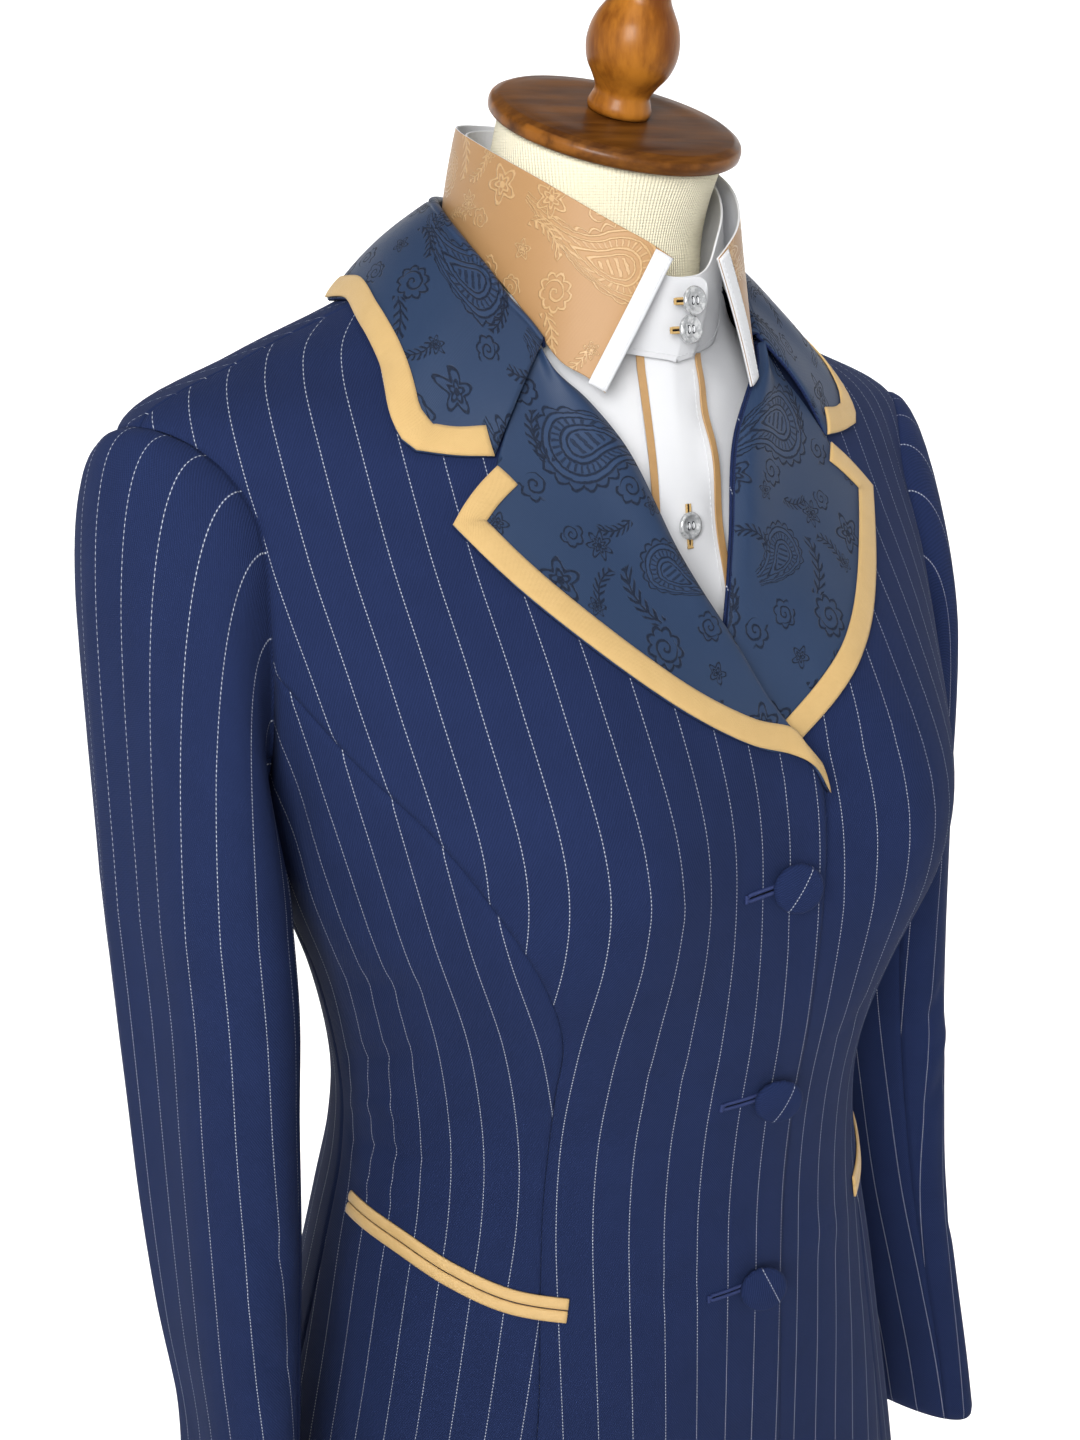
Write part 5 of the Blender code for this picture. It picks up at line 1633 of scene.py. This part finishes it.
since = len(PIECES)
t = circle(120)
rings = []
for s in np.concatenate([np.linspace(0.85, 10.5, 34), np.linspace(10.8, 14.5, 16)]):
    deep = np.interp(s, [7, 9, 11.5, 13, 15], [-5.4, -9.0, -9.0, -5.4, -2.6])
    rings.append(chest(t, 0 * t + s, deep))
for z in np.linspace(1424, 1482.3, 16):
    y, r, tilt = smooth(NECK_RINGS, z)
    back, up = math.cos(math.radians(tilt)), math.sin(math.radians(tilt))
    rings.append(np.stack([r * np.sin(t) - 1.0, y - r * np.cos(t) * back,
                           z - r * np.cos(t) * up], -1))
rings_mesh("fine_form_body", rings, JERSEY)
POLE = [(POLE_R - 1, BASE_H + 0.3), (POLE_R, BASE_H + 1.5), (POLE_R, BASE_H + 3)]
POLE += [(POLE_R, z) for z in np.linspace(BASE_H + 6, rings[0][:, 2].min() - 0.4, 24)]
for name, rows, at, tilt, segments, steps, mat in (
        ("fine_neck_cap", CAP, CAP_AT, NECK_TILT, 128, 4, WOOD),
        ("fine_finial", FINIAL, CAP_AT, NECK_TILT, 96, 4, POLISH),
        ("fine_pole", POLE, (0, 4, 0), 0, 64, 1, POLISH),
        ("fine_base", BASE, (0, 0, 0), 0, 128, 3, PLANK)):
    rings_mesh(name, turned(rows, at, tilt, segments, steps)[0], mat)
made(since)
print("pieces:", len(PIECES), "triangles:",
      sum(len(o.data.loops) - 2 * len(o.data.polygons) for o in PIECES.values()))

# %% [markdown]
# ## Camera and stage
# The suit was photographed from its front right and a little above, in a pale studio.  A plain
# floor plane would show a horizon.  A round floor that curves up into a wall on every side, as in
# a studio, gives an even ground from every direction.

# %% Camera and floor
AZIMUTH, ELEVATION, DISTANCE = -35.0, 17.1, 0.7932
TARGET = Vector((-0.0293, 0.0, 1.2326))
IMAGE_H, FOCAL_PX, SENSOR_MM = 1440, 1770.5, 36.0


def placed(name, data, at, to):
    """An object with this data, at one point and looking to another."""
    ob = bpy.data.objects.new(name, data)
    ob.location = at
    ob.rotation_euler = (Vector(to) - Vector(at)).to_track_quat("-Z", "Y").to_euler()
    bpy.context.scene.collection.objects.link(ob)
    return ob


def pale_floor():
    """Light grey that glows a little, so that the wall stays even."""
    mat = bpy.data.materials.new("pale_floor")
    mat.use_nodes = True
    skin = mat.node_tree.nodes["Principled BSDF"]
    for key, value in (("Base Color", (0.90, 0.90, 0.90, 1.0)), ("Roughness", 0.9),
                       ("Specular IOR Level", 0.1), ("Emission Color", (1.0, 1.0, 1.0, 1.0)),
                       ("Emission Strength", 0.17)):
        skin.inputs[key].default_value = value
    return mat


def add_stage():
    """Rings of radius and height: flat, a quarter circle of 1.1 m, and a wall."""
    bend = np.linspace(0, math.pi / 2, 13)
    radius = np.concatenate([[0.02, 1.0, 2.5, 3.8], 3.9 + 1.1 * np.sin(bend), [5.0]])[:, None]
    height = np.concatenate([[0, 0, 0, 0], 1.1 - 1.1 * np.cos(bend), [3.6]])[:, None] - 0.0005
    t = circle(96)
    verts = np.stack([radius * np.cos(t), radius * np.sin(t), height + 0 * t], -1)
    me = bpy.data.meshes.new("floor")
    me.from_pydata(verts.reshape(-1, 3).tolist(), [],
                   ring_faces(len(radius), 96) + [list(range(96))])
    me.polygons.foreach_set("use_smooth", np.ones(len(me.polygons), bool))
    me.materials.append(pale_floor())
    ob = bpy.data.objects.new("floor", me)
    bpy.context.scene.collection.objects.link(ob)


camera = bpy.data.cameras.new("camera")
camera.sensor_fit = "VERTICAL"
camera.sensor_height = SENSOR_MM
camera.lens = FOCAL_PX / IMAGE_H * SENSOR_MM
camera.clip_start = 0.01
a, e = math.radians(AZIMUTH), math.radians(ELEVATION)
away = Vector((math.sin(a) * math.cos(e), -math.cos(a) * math.cos(e), math.sin(e)))
bpy.context.scene.camera = placed("camera", camera, TARGET + away * DISTANCE, TARGET)
add_stage()
print("lens, mm:", round(camera.lens, 2))

# %% [markdown]
# ## Light
# Navy cloth swallows light, and its stripes and silk show only where light grazes them.  One big
# lamp in front would flatten everything.  A soft key from the wearer's right, a weak one from
# above and one from the left shape the folds, and the wall has a lamp of its own.

# %% Lights and world
BEHIND = Vector((-math.sin(a), math.cos(a), 0.0))


def add_light(name, at, to, size, watts, colour=(1.0, 1.0, 1.0), spread=180.0):
    """Square area light."""
    data = bpy.data.lights.new(name, "AREA")
    data.shape = "SQUARE"
    data.size = size
    data.energy = watts
    data.color = colour
    data.spread = math.radians(spread)
    placed(name, data, at, to)


add_light("key", (-1.65, -1.55, 2.05), (-0.06, 0, 1.46), 1.1, 8.0, (1.0, 0.995, 0.985), 56.0)
add_light("top", (-0.5, -0.7, 3.0), (0, 0, 1.3), 1.2, 7.0)
add_light("side", (2.0, -0.9, 1.9), (0, 0, 1.3), 1.3, 1.2)
add_light("backdrop", BEHIND * 1.2 + Vector((0, 0, 3.0)), BEHIND * 4.2 + Vector((0, 0, 0.8)), 2.4,
          150.0)
world = bpy.data.worlds.new("studio")
world.use_nodes = True
sky = world.node_tree.nodes["Background"]
sky.inputs["Color"].default_value = (1.0, 1.0, 1.0, 1.0)
sky.inputs["Strength"].default_value = 0.17
bpy.context.scene.world = world
bpy.context.scene.view_settings.view_transform = "Standard"
print("lights:", len(bpy.data.lights))

# %% [markdown]
# ## Last update
# The fine pieces must keep to the solids they stand on, or touch and sight disagree.  The view layer
# is brought up to date.

# %% Update
bpy.context.view_layer.update()
